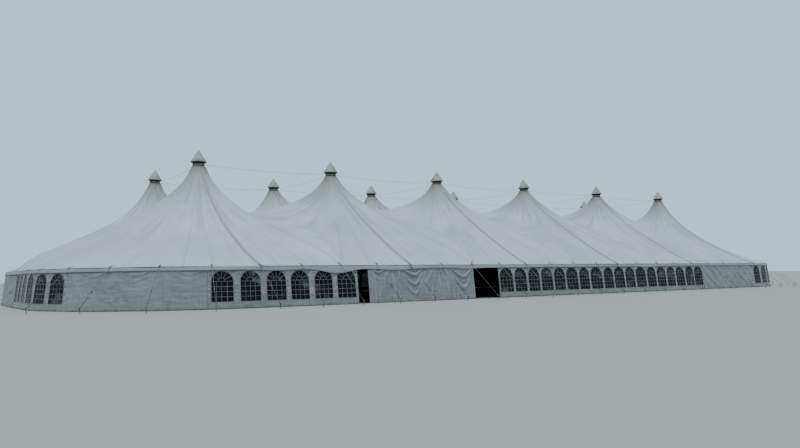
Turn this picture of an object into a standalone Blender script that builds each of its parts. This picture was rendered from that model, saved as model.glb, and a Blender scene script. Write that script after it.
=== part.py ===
"""Pole marquee: two rows of king poles under one laced membrane roof, with side walls, guys and pegs.

The model is at half the real size. X runs along the tent, Y across it with the front at -Y, Z is up,
and the origin is on the ground in the middle of the plan.
"""

import math

import bmesh
import bpy
import numpy as np
from mathutils import Vector

# Plan. The king poles stand on a regular grid, and the corners are rounded about the corner poles.
POLES_IN_ROW = 6
POLE_PITCH = 5.0
ROW_OFFSET = 2.5
CORNER_RADIUS = 5.0
SIDE_POLE_PITCH = 1.25
SIDE_POLES_IN_CORNER = 6

# Heights.
EAVE_HEIGHT = 1.135
RING_HEIGHT = 4.52
HAT_RIM_HEIGHT = 4.66
HAT_TIP_HEIGHT = 5.1

# Roof membrane.
RING_RADIUS = 0.22
RIM_HEIGHT = 0.04
ROOF_THICKNESS = 0.016
VALANCE_DROP = 0.12
VALANCE_THICKNESS = 0.008
ROOF_RINGS = 4
RING_CROWDING = 1.35
CONE_FALLOFF = 0.32
HOOP_STIFFNESS = 1.45
SAG = 0.3
EAVE_STEPS = 2
SIDE_STEPS = 3
RIDGE_STEPS = 2
MIDDLE_STEPS = 2
CORNER_STEPS = 12
END_STEPS = 1
END_MIDDLE_STEPS = 2

# King poles and their hats.
KING_POLE_RADIUS = 0.05
BASE_PLATE_WIDTH = 0.26
BASE_PLATE_THICKNESS = 0.02
HEAD_PLATE_THICKNESS = 0.025
HEAD_PLATE_DROP = 0.008
HAT_RIM_RADIUS = 0.262
HAT_THICKNESS = 0.012
HAT_NECK_RADIUS = 0.03
HAT_SPIKE = 0.06
HAT_SIDES = 10
POLE_SIDES = 8

# Cables between the pole heads.
CABLE_RADIUS = 0.006
CABLE_SAG = 0.1
CABLE_STEPS = 4
COLLAR_HEIGHT = 0.05
COLLAR_WALL = 0.016

# Side walls.
WALL_THICKNESS = 0.01
WALL_FLARE = 0.13
WALL_FLOOR_GAP = 0.004
WINDOW_WIDTH = 0.575
WINDOW_SILL = 0.19
WINDOW_HEAD = 0.135
WINDOW_RISE = 0.275
ARCH_STEPS = 4
FILM_THICKNESS = 0.004
FILM_MARGIN = 0.03

# Side poles, the rail along their tops, guys and pegs.
SIDE_POLE_RADIUS = 0.0175
SIDE_POLE_SIDES = 6
RAIL_HEIGHT = 0.03
RAIL_THICKNESS = 0.012
BAND_HEIGHT = 0.02
BAND_THICKNESS = 0.005
GUY_WIDTH = 0.024
GUY_THICKNESS = 0.005
GUY_REACH = 1.2
PEG_WIDTH = 0.02
PEG_LENGTH = 0.16
PEG_LEAN = 0.35
PEG_HOLD = 0.03

# Fitting gap between pieces that touch.
GAP = 0.0003

# Wall runs along the eave line, by distance from the middle of the front, to the right. Runs at the
# corners are set by the angle round the corner from the tent's end.
LEFT_DRAPE_LENGTH = 3.05
LEFT_WINDOWS_ANGLE = 30.0
FRONT_WINDOWS_START = -13.91
DOOR_ONE_START = -9.47
DOOR_ONE_END = -9.1
DOOR_TWO_START = -4.98
DOOR_TWO_END = -3.865
FRONT_WINDOWS_END = 8.2
CORNER_WINDOWS_START = 12.3
CORNER_WINDOWS_END = 17.0
BACK_WINDOWS_WIDTH = 12.0
END_WINDOWS = 6
LONG_WINDOWS = 18

ROW_LENGTH = (POLES_IN_ROW - 1) * POLE_PITCH
HALF_WIDTH = ROW_OFFSET + CORNER_RADIUS
CORNER_CHORD = 2 * CORNER_RADIUS * math.sin(math.pi / 4 / CORNER_STEPS)
CORNER_LENGTH = CORNER_STEPS * CORNER_CHORD
END_LENGTH = 2 * ROW_OFFSET
PERIMETER = 2 * ROW_LENGTH + 2 * END_LENGTH + 4 * CORNER_LENGTH
WALL_TOP = EAVE_HEIGHT - ROOF_THICKNESS - GAP
WALL_SLOPE = WALL_FLARE / WALL_TOP
WINDOW_TOP = EAVE_HEIGHT - WINDOW_HEAD
WINDOW_SPRING = WINDOW_TOP - WINDOW_RISE


def clear_scene():
    for obj in list(bpy.data.objects):
        bpy.data.objects.remove(obj, do_unlink=True)


def make_material(name, colour, roughness, metallic=0.0, alpha=1.0):
    material = bpy.data.materials.new(name)
    material.use_nodes = True
    surface = material.node_tree.nodes["Principled BSDF"]
    surface.inputs["Base Color"].default_value = (*colour, 1.0)
    surface.inputs["Roughness"].default_value = roughness
    surface.inputs["Metallic"].default_value = metallic
    surface.inputs["Alpha"].default_value = alpha
    return material


def add_object(name, points, faces, material):
    """Make one object from points and faces, with all faces turned outwards."""
    mesh = bpy.data.meshes.new(name)
    mesh.from_pydata([tuple(point) for point in points], [], [tuple(face) for face in faces])
    work = bmesh.new()
    work.from_mesh(mesh)
    bmesh.ops.remove_doubles(work, verts=work.verts, dist=0.00005)
    bmesh.ops.recalc_face_normals(work, faces=work.faces)
    work.to_mesh(mesh)
    work.free()
    mesh.materials.append(material)
    obj = bpy.data.objects.new(name, mesh)
    bpy.context.scene.collection.objects.link(obj)
    return obj


def join_solids(name, pieces, material):
    """Fuse overlapping pieces into one solid."""
    body = pieces[0]
    for piece in pieces[1:]:
        union = body.modifiers.new("join", "BOOLEAN")
        union.operation = "UNION"
        union.solver = "EXACT"
        union.object = piece
        evaluated = body.evaluated_get(bpy.context.evaluated_depsgraph_get())
        joined = bpy.data.meshes.new_from_object(evaluated)
        body.modifiers.remove(union)
        body.data = joined
        bpy.data.objects.remove(piece, do_unlink=True)
    body.name = name
    body.data.name = name
    body.data.materials.clear()
    body.data.materials.append(material)
    return body


def eave_outline():
    """Corners of the eave line, from the left end of the front round to the right."""
    corners = []
    half_row = ROW_LENGTH / 2
    for centre_x, centre_y, start in (
        (half_row, -ROW_OFFSET, -90),
        (half_row, ROW_OFFSET, 0),
        (-half_row, ROW_OFFSET, 90),
        (-half_row, -ROW_OFFSET, 180),
    ):
        for step in range(CORNER_STEPS + 1):
            angle = math.radians(start + 90 * step / CORNER_STEPS)
            corners.append(
                Vector(
                    (
                        centre_x + CORNER_RADIUS * math.cos(angle),
                        centre_y + CORNER_RADIUS * math.sin(angle),
                        0,
                    )
                )
            )
    return corners[-1:] + corners[:-1]


EAVE_CORNERS = eave_outline()


def leg_normal(index):
    """Outward direction of the straight leg that starts at an eave corner."""
    start = EAVE_CORNERS[index % len(EAVE_CORNERS)]
    end = EAVE_CORNERS[(index + 1) % len(EAVE_CORNERS)]
    along = (end - start).normalized()
    return Vector((along.y, -along.x, 0))


def mitre(index):
    """Direction from an eave corner to the same corner of a line drawn outside it, per unit of offset."""
    before, after = leg_normal(index - 1), leg_normal(index)
    middle = (before + after).normalized()
    return middle / middle.dot(after)


def corner_distances():
    """Distance of each eave corner from the middle of the front."""
    distances = [-ROW_LENGTH / 2]
    for index in range(len(EAVE_CORNERS) - 1):
        distances.append(distances[-1] + (EAVE_CORNERS[index + 1] - EAVE_CORNERS[index]).length)
    return distances


CORNER_DISTANCES = corner_distances()


def eave_frame(distance):
    """Point and outward direction on the eave line, by distance to the right of the front's middle."""
    s = (distance + ROW_LENGTH / 2) % PERIMETER - ROW_LENGTH / 2
    count = len(EAVE_CORNERS)
    for index in range(count):
        start = CORNER_DISTANCES[index]
        end = CORNER_DISTANCES[index + 1] if index + 1 < count else start + CORNER_CHORD
        if s < end:
            break
    point = EAVE_CORNERS[index].lerp(EAVE_CORNERS[(index + 1) % count], (s - start) / (end - start))
    if s - start < 0.001:
        return point, mitre(index)
    if end - s < 0.001:
        return point, mitre(index + 1)
    return point, leg_normal(index)


def eave_point(distance, offset, height):
    point, outward = eave_frame(distance)
    place = point + offset * outward
    return Vector((place.x, place.y, height))


def corners_between(start, end):
    """Distances of the eave corners that lie inside a stretch."""
    inside = []
    for turn in (-1, 0, 1):
        for distance in CORNER_DISTANCES:
            place = distance + turn * PERIMETER
            if start + 0.001 < place < end - 0.001:
                inside.append(place)
    return sorted(inside)


def spread(start, end, steps):
    return [start + (end - start) * step / steps for step in range(steps + 1)]


def half_cell_edge(at_end):
    """Edge points of the membrane's share beside a pole, from the eave round to the tent's middle.

    They are for a front pole and its right side, as offsets from the pole. Between poles the share is a
    rectangle, and at the tent's end it takes in the rounded corner.
    """
    if at_end:
        edge = [
            (CORNER_RADIUS * math.sin(angle), -CORNER_RADIUS * math.cos(angle))
            for angle in spread(0, math.pi / 2, CORNER_STEPS)
        ]
        edge += [(CORNER_RADIUS, y) for y in spread(0, ROW_OFFSET, END_STEPS)[1:]]
        edge += [(x, ROW_OFFSET) for x in spread(CORNER_RADIUS, 0, END_MIDDLE_STEPS)[1:]]
        return edge
    half = POLE_PITCH / 2
    edge = [(x, -CORNER_RADIUS) for x in spread(0, half, EAVE_STEPS)]
    edge += [(half, y) for y in spread(-CORNER_RADIUS, 0, SIDE_STEPS)[1:]]
    edge += [(half, y) for y in spread(0, ROW_OFFSET, RIDGE_STEPS)[1:]]
    edge += [(x, ROW_OFFSET) for x in spread(half, 0, MIDDLE_STEPS)[1:]]
    return edge


def half_cell_grid(pole_x, side, at_end):
    """Rays from the head ring to the edge, each a list of points in plan; side is 1 or -1."""
    edge = half_cell_edge(at_end)
    rays = []
    for index, (edge_x, edge_y) in enumerate(edge):
        angle = -math.pi / 2 + math.pi * index / (len(edge) - 1)
        ring_x = RING_RADIUS * math.cos(angle)
        ring_y = RING_RADIUS * math.sin(angle)
        ray = []
        for ring in range(ROOF_RINGS + 1):
            share = (ring / ROOF_RINGS) ** RING_CROWDING
            x = ring_x + (edge_x - ring_x) * share
            y = ring_y + (edge_y - ring_y) * share
            ray.append((pole_x + side * x, -ROW_OFFSET + y))
        rays.append(ray)
    return rays


def pole_x(index):
    return index * POLE_PITCH - ROW_LENGTH / 2


def plan_key(x, y):
    return round(abs(x), 5), round(abs(y), 5)


def on_eave(x, y):
    if abs(abs(y) - HALF_WIDTH) < 1e-6:
        return True
    beyond = abs(x) - ROW_LENGTH / 2
    if beyond < 1e-6:
        return False
    if abs(beyond - CORNER_RADIUS) < 1e-6:
        return True
    across = abs(y) - ROW_OFFSET
    return across > 0 and abs(math.hypot(beyond, across) - CORNER_RADIUS) < 1e-6


def roof_heights():
    """Heights of the stretched membrane on the plan grid, from a balance of its pull at every point.

    Each point is drawn to its neighbours in proportion to the strip of cloth between them, and sags under
    its own weight. The head rings and the eave are held. One quarter of the roof is enough, by symmetry.
    """
    index_of = {}
    held = {}
    area = {}
    pulls = {}

    def point_index(x, y):
        key = plan_key(x, y)
        if key not in index_of:
            index_of[key] = len(index_of)
        return index_of[key]

    def add_pull(first, second, strength):
        if first != second:
            pair = (min(first, second), max(first, second))
            pulls[pair] = pulls.get(pair, 0.0) + strength

    first_half = range((POLES_IN_ROW + 1) // 2)
    for pole in first_half:
        x_pole = pole_x(pole)
        for side in (1, -1):
            grid = half_cell_grid(x_pole, side, at_end=(pole == 0 and side == -1))
            turn = math.pi / (len(grid) - 1)
            for number, ray in enumerate(grid):
                half_ray = 0.5 if number in (0, len(grid) - 1) else 1.0
                spans = [math.hypot(x - x_pole, y + ROW_OFFSET) for x, y in ray]
                for ring, (x, y) in enumerate(ray):
                    here = point_index(x, y)
                    if ring == 0:
                        held[here] = RING_HEIGHT
                    if on_eave(x, y):
                        held[here] = EAVE_HEIGHT
                    if ring < ROOF_RINGS:
                        there = point_index(*ray[ring + 1])
                        middle = (spans[ring] + spans[ring + 1]) / 2
                        step = spans[ring + 1] - spans[ring]
                        width = middle * turn * half_ray
                        weakening = (middle / POLE_PITCH) ** -CONE_FALLOFF
                        add_pull(here, there, width / step * weakening)
                        for each in (here, there):
                            area[each] = area.get(each, 0.0) + width * step / 2
                    if ring > 0 and number < len(grid) - 1:
                        x_next, y_next = grid[number + 1][ring]
                        beside = point_index(x_next, y_next)
                        outer = spans[min(ring + 1, ROOF_RINGS)]
                        strip = (outer - spans[ring - 1]) / 2
                        weakening = (spans[ring] / POLE_PITCH) ** -CONE_FALLOFF
                        length = math.hypot(x - x_next, y - y_next)
                        add_pull(here, beside, HOOP_STIFFNESS * strip / length * weakening)

    count = len(index_of)
    balance = np.zeros((count, count))
    load = np.zeros(count)
    for (first, second), strength in pulls.items():
        balance[first, first] += strength
        balance[second, second] += strength
        balance[first, second] -= strength
        balance[second, first] -= strength
    for point, size in area.items():
        load[point] = -SAG / POLE_PITCH * size
    for point, height in held.items():
        balance[point, :] = 0.0
        balance[point, point] = 1.0
        load[point] = height
    solved = np.linalg.solve(balance, load)
    return {key: float(solved[index]) for key, index in index_of.items()}


def outward_at(x, y):
    """Outward direction in plan at a point on the eave line, mitred at its corners."""
    for index, corner in enumerate(EAVE_CORNERS):
        if abs(corner.x - x) < 1e-4 and abs(corner.y - y) < 1e-4:
            return mitre(index)
    if abs(abs(y) - HALF_WIDTH) < 1e-4:
        return Vector((0, math.copysign(1, y), 0))
    return Vector((math.copysign(1, x), 0, 0))


def roof_section(name, half_cells, lacing_planes, heights, material):
    """One laced section of the roof with its valance, as a closed shell.

    half_cells lists (pole index, side), and each is made for the front row and mirrored to the back.
    lacing_planes lists (x, direction to the inside of the section).
    """
    points = []
    index_of = {}
    faces = []

    def add_point(x, y):
        key = (round(x, 5), round(y, 5))
        if key not in index_of:
            index_of[key] = len(points)
            points.append(Vector((x, y, heights[plan_key(x, y)])))
        return index_of[key]

    last_pole = POLES_IN_ROW - 1
    for pole, side in half_cells:
        at_end = (pole, side) in ((0, -1), (last_pole, 1))
        grid = half_cell_grid(pole_x(pole), side, at_end)
        for row in (1, -1):
            for ray, next_ray in zip(grid, grid[1:]):
                for ring in range(ROOF_RINGS):
                    corners = (ray[ring], ray[ring + 1], next_ray[ring + 1], next_ray[ring])
                    face = [add_point(x, row * y) for x, y in corners]
                    if side * row < 0:
                        face.reverse()
                    faces.append(face)

    normals = [Vector((0, 0, 0)) for _ in points]
    for face in faces:
        a, b, c, d = (points[i] for i in face)
        normal = (c - a).cross(d - b)
        for i in face:
            normals[i] += normal
    edge_count = {}
    for face in faces:
        for a, b in zip(face, face[1:] + face[:1]):
            edge_count[(a, b)] = edge_count.get((a, b), 0) + 1
    boundary = [(a, b) for a, b in edge_count if (b, a) not in edge_count]
    boundary_points = {i for pair in boundary for i in pair}

    def ring_point(point):
        return point.z > RING_HEIGHT - 1e-6

    under = []
    for i, point in enumerate(points):
        normal = normals[i]
        for plane, _ in lacing_planes:
            if abs(point.x - plane) < 1e-6:
                normal.x = 0.0
        normal.normalize()
        if i in boundary_points and ring_point(point):
            under.append(point - Vector((0, 0, RIM_HEIGHT)))
        elif on_eave(point.x, point.y):
            under.append(point - Vector((0, 0, ROOF_THICKNESS)))
        else:
            under.append(point - ROOF_THICKNESS * normal)

    count = len(points)
    all_points = [point.copy() for point in points] + under
    all_faces = list(faces)
    all_faces += [[i + count for i in reversed(face)] for face in faces]

    hem = {}
    for i, point in enumerate(points):
        if on_eave(point.x, point.y):
            outward = outward_at(point.x, point.y)
            reach = GAP + VALANCE_THICKNESS
            swing = WALL_SLOPE * VALANCE_DROP
            drop = Vector((0, 0, -VALANCE_DROP))
            hem[i] = (len(all_points), len(all_points) + 1, len(all_points) + 2)
            all_points.append(point + outward * reach)
            all_points.append(point + outward * (reach + swing) + drop)
            all_points.append(point + outward * (GAP + swing) + drop)
            all_points[i + count] += outward * GAP
    for a, b in boundary:
        if a in hem and b in hem:
            chain_a = (a, *hem[a], a + count)
            chain_b = (b, *hem[b], b + count)
            for step in range(4):
                low, high = step, step + 1
                all_faces.append([chain_b[low], chain_a[low], chain_a[high], chain_b[high]])
        else:
            all_faces.append([b, a, a + count, b + count])
            for i in (a, b):
                if i in hem:
                    all_faces.append([i, *hem[i], i + count])
    for plane, inside in lacing_planes:
        for point in all_points:
            if abs(point.x - plane) < 1e-6:
                point.x += inside * GAP / 2
    return add_object(name, all_points, all_faces, material)


def polygon_prism(ring, low, high):
    """Points and faces of an upright prism over a ring of plan points."""
    count = len(ring)
    points = [Vector((x, y, low)) for x, y in ring] + [Vector((x, y, high)) for x, y in ring]
    faces = [list(range(count)), list(range(2 * count - 1, count - 1, -1))]
    for i in range(count):
        j = (i + 1) % count
        faces.append([i, j, j + count, i + count])
    return points, faces


def round_ring(x, y, radius, sides):
    return [
        (x + radius * math.cos(2 * math.pi * i / sides), y + radius * math.sin(2 * math.pi * i / sides))
        for i in range(sides)
    ]


def head_plate_ring(pole, y):
    """Outline of the plate inside the roof's ring, with the same corners as the ring."""
    x_pole = pole_x(pole)
    last_pole = POLES_IN_ROW - 1
    ring = []
    for side in (1, -1):
        steps = len(half_cell_edge((pole, side) in ((0, -1), (last_pole, 1)))) - 1
        inside = RING_RADIUS - GAP / math.cos(math.pi / (2 * steps))
        for step in range(steps):
            angle = -math.pi / 2 + math.pi * step / steps
            if side < 0:
                angle += math.pi
            ring.append((x_pole + inside * math.cos(angle), y + inside * math.sin(angle)))
    return ring


def king_pole(name, pole, y, material):
    """Pole on its base plate, with the head plate that holds up the roof's ring."""
    x = pole_x(pole)
    half = BASE_PLATE_WIDTH / 2
    base_outline = [(x - half, y - half), (x + half, y - half), (x + half, y + half), (x - half, y + half)]
    base = add_object("base", *polygon_prism(base_outline, 0.0, BASE_PLATE_THICKNESS), material)
    shaft_outline = round_ring(x, y, KING_POLE_RADIUS, POLE_SIDES)
    shaft_top = HAT_TIP_HEIGHT - HAT_SPIKE - HAT_THICKNESS - GAP
    narrow_from = HAT_RIM_HEIGHT
    points, faces = polygon_prism(shaft_outline, BASE_PLATE_THICKNESS / 2, narrow_from)
    shaft = add_object("shaft", points, faces, material)
    spigot_outline = round_ring(x, y, HAT_NECK_RADIUS - HAT_THICKNESS, POLE_SIDES)
    spigot = add_object("spigot", *polygon_prism(spigot_outline, narrow_from - 0.05, shaft_top), material)
    plate_top = RING_HEIGHT - HEAD_PLATE_DROP
    plate_outline = head_plate_ring(pole, y)
    plate = add_object(
        "plate", *polygon_prism(plate_outline, plate_top - HEAD_PLATE_THICKNESS, plate_top), material
    )
    return join_solids(name, [shaft, base, plate, spigot], material)


def pole_hat(name, x, y, material):
    """Hollow cone that stands on the pole's spigot and keeps rain out of the ring."""
    neck_height = HAT_TIP_HEIGHT - HAT_SPIKE
    outer = [(HAT_RIM_RADIUS, HAT_RIM_HEIGHT), (HAT_NECK_RADIUS, neck_height)]
    inner = [
        (HAT_NECK_RADIUS - HAT_THICKNESS / 2, neck_height - HAT_THICKNESS),
        (HAT_RIM_RADIUS - HAT_THICKNESS, HAT_RIM_HEIGHT),
    ]
    points = []
    for radius, height in outer + inner:
        points += [Vector((px, py, height)) for px, py in round_ring(x, y, radius, HAT_SIDES)]
    tip = len(points)
    points.append(Vector((x, y, HAT_TIP_HEIGHT)))
    seat = len(points)
    points.append(Vector((x, y, neck_height - HAT_THICKNESS)))
    faces = []
    for i in range(HAT_SIDES):
        j = (i + 1) % HAT_SIDES
        rim, neck, roof, lip = 0, HAT_SIDES, 2 * HAT_SIDES, 3 * HAT_SIDES
        faces.append([rim + i, rim + j, neck + j, neck + i])
        faces.append([neck + i, neck + j, tip])
        faces.append([roof + j, roof + i, seat])
        faces.append([roof + i, roof + j, lip + j, lip + i])
        faces.append([lip + i, lip + j, rim + j, rim + i])
    return add_object(name, points, faces, material)


def square_tube(path, half_width, material):
    """Four-sided tube along a path of points."""
    points = []
    for i, point in enumerate(path):
        ahead = path[min(i + 1, len(path) - 1)] - path[max(i - 1, 0)]
        side = ahead.cross(Vector((0, 0, 1))).normalized()
        up = side.cross(ahead).normalized()
        for u, v in ((1, 1), (-1, 1), (-1, -1), (1, -1)):
            points.append(point + half_width * (u * side + v * up))
    faces = [[0, 1, 2, 3], list(range(len(points) - 4, len(points)))[::-1]]
    for i in range(len(path) - 1):
        for k in range(4):
            here, beside = 4 * i + k, 4 * i + (k + 1) % 4
            faces.append([here, beside, beside + 4, here + 4])
    return add_object("tube", points, faces, material)


def head_cables(name, material):
    """Cables from pole head to pole head, joined to a collar round each pole."""
    collar_middle = (RING_HEIGHT + HAT_RIM_HEIGHT) / 2
    low = collar_middle - COLLAR_HEIGHT / 2
    high = collar_middle + COLLAR_HEIGHT / 2
    hole = KING_POLE_RADIUS + GAP / math.cos(math.pi / POLE_SIDES)
    collar_radius = hole + COLLAR_WALL
    pieces = []
    for y in (-ROW_OFFSET, ROW_OFFSET):
        for pole in range(POLES_IN_ROW):
            outer = round_ring(pole_x(pole), y, collar_radius, POLE_SIDES)
            inner = round_ring(pole_x(pole), y, hole, POLE_SIDES)
            points = []
            for ring, height in ((outer, low), (outer, high), (inner, high), (inner, low)):
                points += [Vector((px, py, height)) for px, py in ring]
            faces = []
            for i in range(POLE_SIDES):
                j = (i + 1) % POLE_SIDES
                for band in range(4):
                    a = band * POLE_SIDES
                    b = (band + 1) % 4 * POLE_SIDES
                    faces.append([a + i, a + j, b + j, b + i])
            pieces.append(add_object("collar", points, faces, material))
    spans = []
    for y in (-ROW_OFFSET, ROW_OFFSET):
        for pole in range(POLES_IN_ROW - 1):
            spans.append((Vector((pole_x(pole), y, 0)), Vector((pole_x(pole + 1), y, 0))))
    for pole in range(POLES_IN_ROW):
        spans.append((Vector((pole_x(pole), -ROW_OFFSET, 0)), Vector((pole_x(pole), ROW_OFFSET, 0))))
    start = hole + COLLAR_WALL / 3
    for first, second in spans:
        along = (second - first).normalized()
        begin = first + along * start
        end = second - along * start
        path = []
        for step in range(CABLE_STEPS + 1):
            share = step / CABLE_STEPS
            place = begin.lerp(end, share)
            place.z = collar_middle - CABLE_SAG * 4 * share * (1 - share)
            path.append(place)
        pieces.append(square_tube(path, CABLE_RADIUS, material))
    return join_solids(name, pieces, material)


def wall_offset(height):
    """How far outside the eave line the wall's outer face lies at a height."""
    return WALL_SLOPE * (WALL_TOP - height)


def wall_levels():
    return (WALL_FLOOR_GAP, WINDOW_SPRING, WALL_TOP)


def wall_sheet(name, pattern, inset, thickness, material):
    """Closed wall that follows the eave line, from a flat pattern of faces.

    Each face is a list of (distance, height) points. The wall's outer face lies inset from the line that
    runs from the eave to the ground outside it.
    """
    flat = bmesh.new()
    vertex_of = {}
    for face in pattern:
        corners = []
        for distance, height in face:
            key = (round(distance, 6), round(height, 6))
            if key not in vertex_of:
                vertex_of[key] = flat.verts.new((distance, height, 0))
            corners.append(vertex_of[key])
        flat.faces.new(corners)
    places = [distance for distance, _ in vertex_of]
    for distance in corners_between(min(places), max(places)):
        bmesh.ops.bisect_plane(
            flat,
            geom=flat.verts[:] + flat.edges[:] + flat.faces[:],
            dist=0.0001,
            plane_co=(distance, 0, 0),
            plane_no=(1, 0, 0),
        )
    flat.verts.index_update()
    spots = [(vert.co.x, vert.co.y) for vert in flat.verts]
    faces = [[vert.index for vert in face.verts] for face in flat.faces]
    edges = {(a, b) for face in faces for a, b in zip(face, face[1:] + face[:1])}
    flat.free()
    outer = [eave_point(s, wall_offset(z) - inset, z) for s, z in spots]
    inner = [eave_point(s, wall_offset(z) - inset - thickness, z) for s, z in spots]
    count = len(spots)
    all_faces = list(faces)
    all_faces += [[i + count for i in reversed(face)] for face in faces]
    all_faces += [[b, a, a + count, b + count] for a, b in sorted(edges) if (b, a) not in edges]
    return add_object(name, outer + inner, all_faces, material)


def plain_pattern(start, end):
    """Plain wall faces in two rows, as high as the rows of a windowed wall."""
    levels = wall_levels()
    return [
        [(start, low), (end, low), (end, high), (start, high)] for low, high in zip(levels, levels[1:])
    ]


def window_pattern(start, end, windows):
    """Wall faces round a row of evenly spaced arched windows."""
    low, spring, top = wall_levels()
    pitch = (end - start) / windows
    half = WINDOW_WIDTH / 2
    faces = []
    for number in range(windows):
        left = start + pitch * number
        right = left + pitch
        middle = (left + right) / 2
        hole = [(middle - half, WINDOW_SILL), (middle + half, WINDOW_SILL)]
        outer = [(left, low), (right, low)]
        for step in range(ARCH_STEPS + 1):
            angle = math.pi * step / ARCH_STEPS
            hole.append((middle + half * math.cos(angle), WINDOW_SPRING + WINDOW_RISE * math.sin(angle)))
            if step == 0:
                outer.append((right, spring))
            elif step == ARCH_STEPS:
                outer.append((left, spring))
            else:
                share = (step - 1) / (ARCH_STEPS - 2)
                outer.append((right + (left - right) * share, top))
        corners = len(hole)
        for i in range(corners):
            j = (i + 1) % corners
            faces.append([outer[i], outer[j], hole[j], hole[i]])
    return faces


def film_pattern(start, end):
    low = WINDOW_SILL - FILM_MARGIN
    high = WINDOW_TOP + FILM_MARGIN
    return [[(start, low), (end, low), (end, high), (start, high)]]


def side_pole_distances():
    """Where the side poles stand along the eave, one list for each side of the tent."""
    half_row = ROW_LENGTH / 2
    bays = round(ROW_LENGTH / SIDE_POLE_PITCH)
    front = [-half_row + ROW_LENGTH * i / bays for i in range(bays + 1)]
    end_bays = max(1, round(END_LENGTH / SIDE_POLE_PITCH))
    corner_step = CORNER_LENGTH / SIDE_POLES_IN_CORNER
    right = [half_row + corner_step * i for i in range(1, SIDE_POLES_IN_CORNER)]
    end_start = half_row + CORNER_LENGTH
    right += [end_start + END_LENGTH * i / end_bays for i in range(end_bays + 1)]
    back_corner = end_start + END_LENGTH
    right += [back_corner + corner_step * i for i in range(1, SIDE_POLES_IN_CORNER)]
    back_start = back_corner + CORNER_LENGTH
    back = [back_start + ROW_LENGTH * i / bays for i in range(bays + 1)]
    left = [distance + PERIMETER / 2 for distance in right]
    return {"front": front, "right": right, "back": back, "left": left}


def eave_band(distances, near, far, low, high, material):
    """Strip along the eave between two offsets and two heights, past the first and last distances."""
    overlap = SIDE_POLE_RADIUS
    start, end = distances[0] - overlap, distances[-1] + overlap
    columns = [start] + corners_between(start, end) + [end]
    points = []
    for distance in columns:
        for offset, height in ((near, low), (far, low), (far, high), (near, high)):
            points.append(eave_point(distance, offset, height))
    faces = [[0, 1, 2, 3], list(range(len(points) - 4, len(points)))[::-1]]
    for i in range(len(columns) - 1):
        for k in range(4):
            here, beside = 4 * i + k, 4 * i + (k + 1) % 4
            faces.append([here, beside, beside + 4, here + 4])
    return add_object("band", points, faces, material)


def side_poles(name, distances, material):
    """Row of side poles with the rail along their tops, just inside the wall."""
    rail_out = -WALL_THICKNESS - GAP
    rail_top = EAVE_HEIGHT - ROOF_THICKNESS - GAP
    rail = eave_band(
        distances, rail_out - RAIL_THICKNESS, rail_out, rail_top - RAIL_HEIGHT, rail_top, material
    )
    pieces = [rail]
    centre = rail_out - SIDE_POLE_RADIUS
    for distance in distances:
        place = eave_point(distance, centre, 0)
        outline = round_ring(place.x, place.y, SIDE_POLE_RADIUS, SIDE_POLE_SIDES)
        pole_top = rail_top - RAIL_HEIGHT / 2
        pieces.append(add_object("pole", *polygon_prism(outline, 0.0, pole_top), material))
    return join_solids(name, pieces, material)


def slanted_bar(start, end, across, width, thickness, material):
    """Flat bar from one point to another, with its width along the across direction."""
    along = (end - start).normalized()
    normal = along.cross(across).normalized()
    points = []
    for place in (start, end):
        for u, v in ((1, 1), (-1, 1), (-1, -1), (1, -1)):
            points.append(place + across * (u * width / 2) + normal * (v * thickness / 2))
    faces = [[0, 1, 2, 3], [7, 6, 5, 4]]
    for k in range(4):
        j = (k + 1) % 4
        faces.append([k, j, j + 4, k + 4])
    return add_object("bar", points, faces, material)


def guys(name, distances, material):
    """Guy straps from the eave down to their pegs, joined by the band sewn along the eave."""
    band_near = 2 * GAP + VALANCE_THICKNESS
    high = EAVE_HEIGHT - 0.004
    low = high - BAND_HEIGHT
    near = band_near + WALL_SLOPE * (EAVE_HEIGHT - low)
    band = eave_band(distances, near, near + BAND_THICKNESS, low, high, material)
    pieces = [band]
    for distance in distances:
        place, outward = eave_frame(distance)
        across = Vector((-outward.y, outward.x, 0))
        top = eave_point(distance, near + BAND_THICKNESS, (low + high) / 2)
        peg_foot = place + GUY_REACH * outward
        lean = Vector((outward.x * PEG_LEAN, outward.y * PEG_LEAN, 1)).normalized()
        peg_head = peg_foot + lean * PEG_LENGTH
        hold = peg_head - lean * PEG_HOLD
        pieces.append(slanted_bar(top, hold, across, GUY_WIDTH, GUY_THICKNESS, material))
        foot_outline = []
        for u, v in ((1, 1), (-1, 1), (-1, -1), (1, -1)):
            shift = across * (u * PEG_WIDTH / 2) + outward * (v * PEG_WIDTH / 2)
            foot_outline.append(shift)
        points = [peg_foot + shift for shift in foot_outline] + [peg_head + shift for shift in foot_outline]
        faces = [[0, 1, 2, 3], [7, 6, 5, 4]]
        for k in range(4):
            j = (k + 1) % 4
            faces.append([k, j, j + 4, k + 4])
        pieces.append(add_object("peg", points, faces, material))
    return join_solids(name, pieces, material)


clear_scene()

roof_cloth = make_material("roof_cloth", (0.74, 0.77, 0.78), 0.5)
wall_cloth = make_material("wall_cloth", (0.62, 0.65, 0.66), 0.6)
clear_film = make_material("clear_film", (0.05, 0.06, 0.06), 0.15, alpha=0.35)
pole_steel = make_material("pole_steel", (0.45, 0.46, 0.47), 0.45, metallic=1.0)
cable_steel = make_material("cable_steel", (0.2, 0.2, 0.21), 0.5, metallic=1.0)
strap_webbing = make_material("strap_webbing", (0.55, 0.56, 0.55), 0.8)
hat_metal = make_material("hat_metal", (0.5, 0.53, 0.55), 0.55)

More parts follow.
